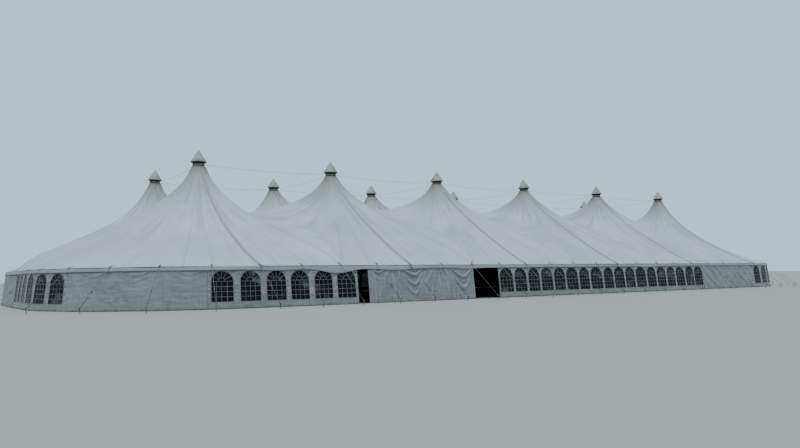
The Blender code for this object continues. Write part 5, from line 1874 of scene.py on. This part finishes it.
def ratchet_shape():
    """Tightening ratchet: two cheeks, a drum between them and a folded handle, lying along X."""
    half = RATCHET_HALF_WIDTH
    parts = []
    for y in (-half, half):
        low = (-RATCHET_HALF_LENGTH, y - CHEEK_HALF_THICKNESS, CHEEK_LOW)
        high = (RATCHET_HALF_LENGTH, y + CHEEK_HALF_THICKNESS, CHEEK_TOP)
        parts.append(box_shape("cheek", low, high, RATCHET_STEEL))
    drum_profile = [(0, -half), (DRUM_RADIUS, -half), (DRUM_RADIUS, half), (0, half)]
    drum = turned_shape("drum", drum_profile, DRUM_SIDES, material=RATCHET_STEEL)
    drum.data.transform(Matrix.Rotation(math.radians(90), 4, "X"))
    return joined("ratchet", [*parts, drum, box_shape("handle", *HANDLE_BOX, RATCHET_STEEL)])


for side, distances in side_places.items():
    upper, lower, ratchets, ratchet_turns, pegs = [], [], [], [], []
    for distance in distances:
        eave, outward = eave_line(distance)
        way = np.append(outward[0], 0)
        foot = np.append(eave[0], 0) + GUY_REACH * way
        lean = np.array([way[0] * PEG_LEAN, way[1] * PEG_LEAN, 1]) / math.hypot(PEG_LEAN, 1)
        hold = foot + lean * (PEG_LENGTH - PEG_HOLD)
        top = np.append(eave[0] + GUY_TOP * outward[0], EAVE_HEIGHT - GUY_TOP_DROP)
        line = (hold - top) / np.linalg.norm(hold - top)
        middle = top + (hold - top) * RATCHET_SHARE
        upper.append([top, (top + middle) / 2, middle])
        normal = np.cross(line, np.cross((0, 0, 1), line))
        normal /= np.linalg.norm(normal)
        for number, bow in enumerate(GUY_LOW_BOWS):
            lower.append([middle, (middle + hold) / 2 + bow * normal, hold - number * GUY_LOW_STEP * lean])
        ratchets.append(middle)
        ratchet_turns.append((0, -math.asin(line[2]), math.atan2(line[1], line[0])))
        pegs.append(foot)
    peg_turns = flat_turns(eave_line(distances)[1]) + (0, math.atan(PEG_LEAN), 0)
    steps = BAND_STEPS_IN_BAY * len(distances)
    run = np.linspace(distances[0] - BAND_OVERHANG, distances[-1] + BAND_OVERHANG, steps)
    band_path = eave_places(run, GUY_TOP - BAND_INSET, EAVE_HEIGHT - BAND_DROP)
    peg = turned_shape("peg", PEG_PROFILE, PEG_SIDES)
    parts = [
        straps("upper", upper, GUY_WIDTH, GUY_THICKNESS, GUY_WEBBING),
        straps("lower", lower, GUY_LOW_WIDTH, GUY_THICKNESS, TAB_WEBBING),
        copies("ratchets", ratchet_shape(), ratchets, ratchet_turns, RATCHET_STEEL),
        copies("pegs", peg, pegs, peg_turns, PEG_STEEL),
        straps("band", [band_path], GUY_THICKNESS, BAND_HEIGHT, TAB_WEBBING),
    ]
    row = joined(f"guys_{side}_row", parts)
    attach(row, "root")
    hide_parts(f"guys_{side}")

# Wall pegs. The foot of the walls is held by small steel pins with round heads along the hem, two to each
# side-pole bay, left out where the doors stand open.
HEM_PEG_SPACING = 0.62
HEM_PEG_HEIGHT = 0.055
HEM_PEG_LEVEL = 0.02
HEM_PEG_OUTSET = 0.012
HEM_PEG_LEAN = 0.25
HEM_PEG_SIDES = 7
HEM_PEG_PROFILE = (
    (0, 0),
    (0.006, 0),
    (0.006, HEM_PEG_HEIGHT - 0.012),
    (0.012, HEM_PEG_HEIGHT - 0.009),
    (0.01, HEM_PEG_HEIGHT),
    (0, HEM_PEG_HEIGHT),
)
pin_places, pin_turns = [], []
for name, (start, *_) in WALLS.items():
    reach = cloth_end(name) - start
    count = max(2, round(reach / HEM_PEG_SPACING))
    spots = start + (np.arange(count) + 0.5) / count * reach
    feet = on_wall(np.column_stack([spots, 0 * spots + HEM_PEG_LEVEL]), name, HEM_PEG_OUTSET)
    pin_places.extend(feet * (1, 1, 0))
    pin_turns.extend(flat_turns(eave_line(spots)[1]) + (0, HEM_PEG_LEAN, 0))
hem_pin = turned_shape("hem_pin", HEM_PEG_PROFILE, HEM_PEG_SIDES)
hem_pins = copies("hem_pins", hem_pin, pin_places, pin_turns, PEG_STEEL, wobble=0.15, seed=9)
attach(hem_pins, "root")
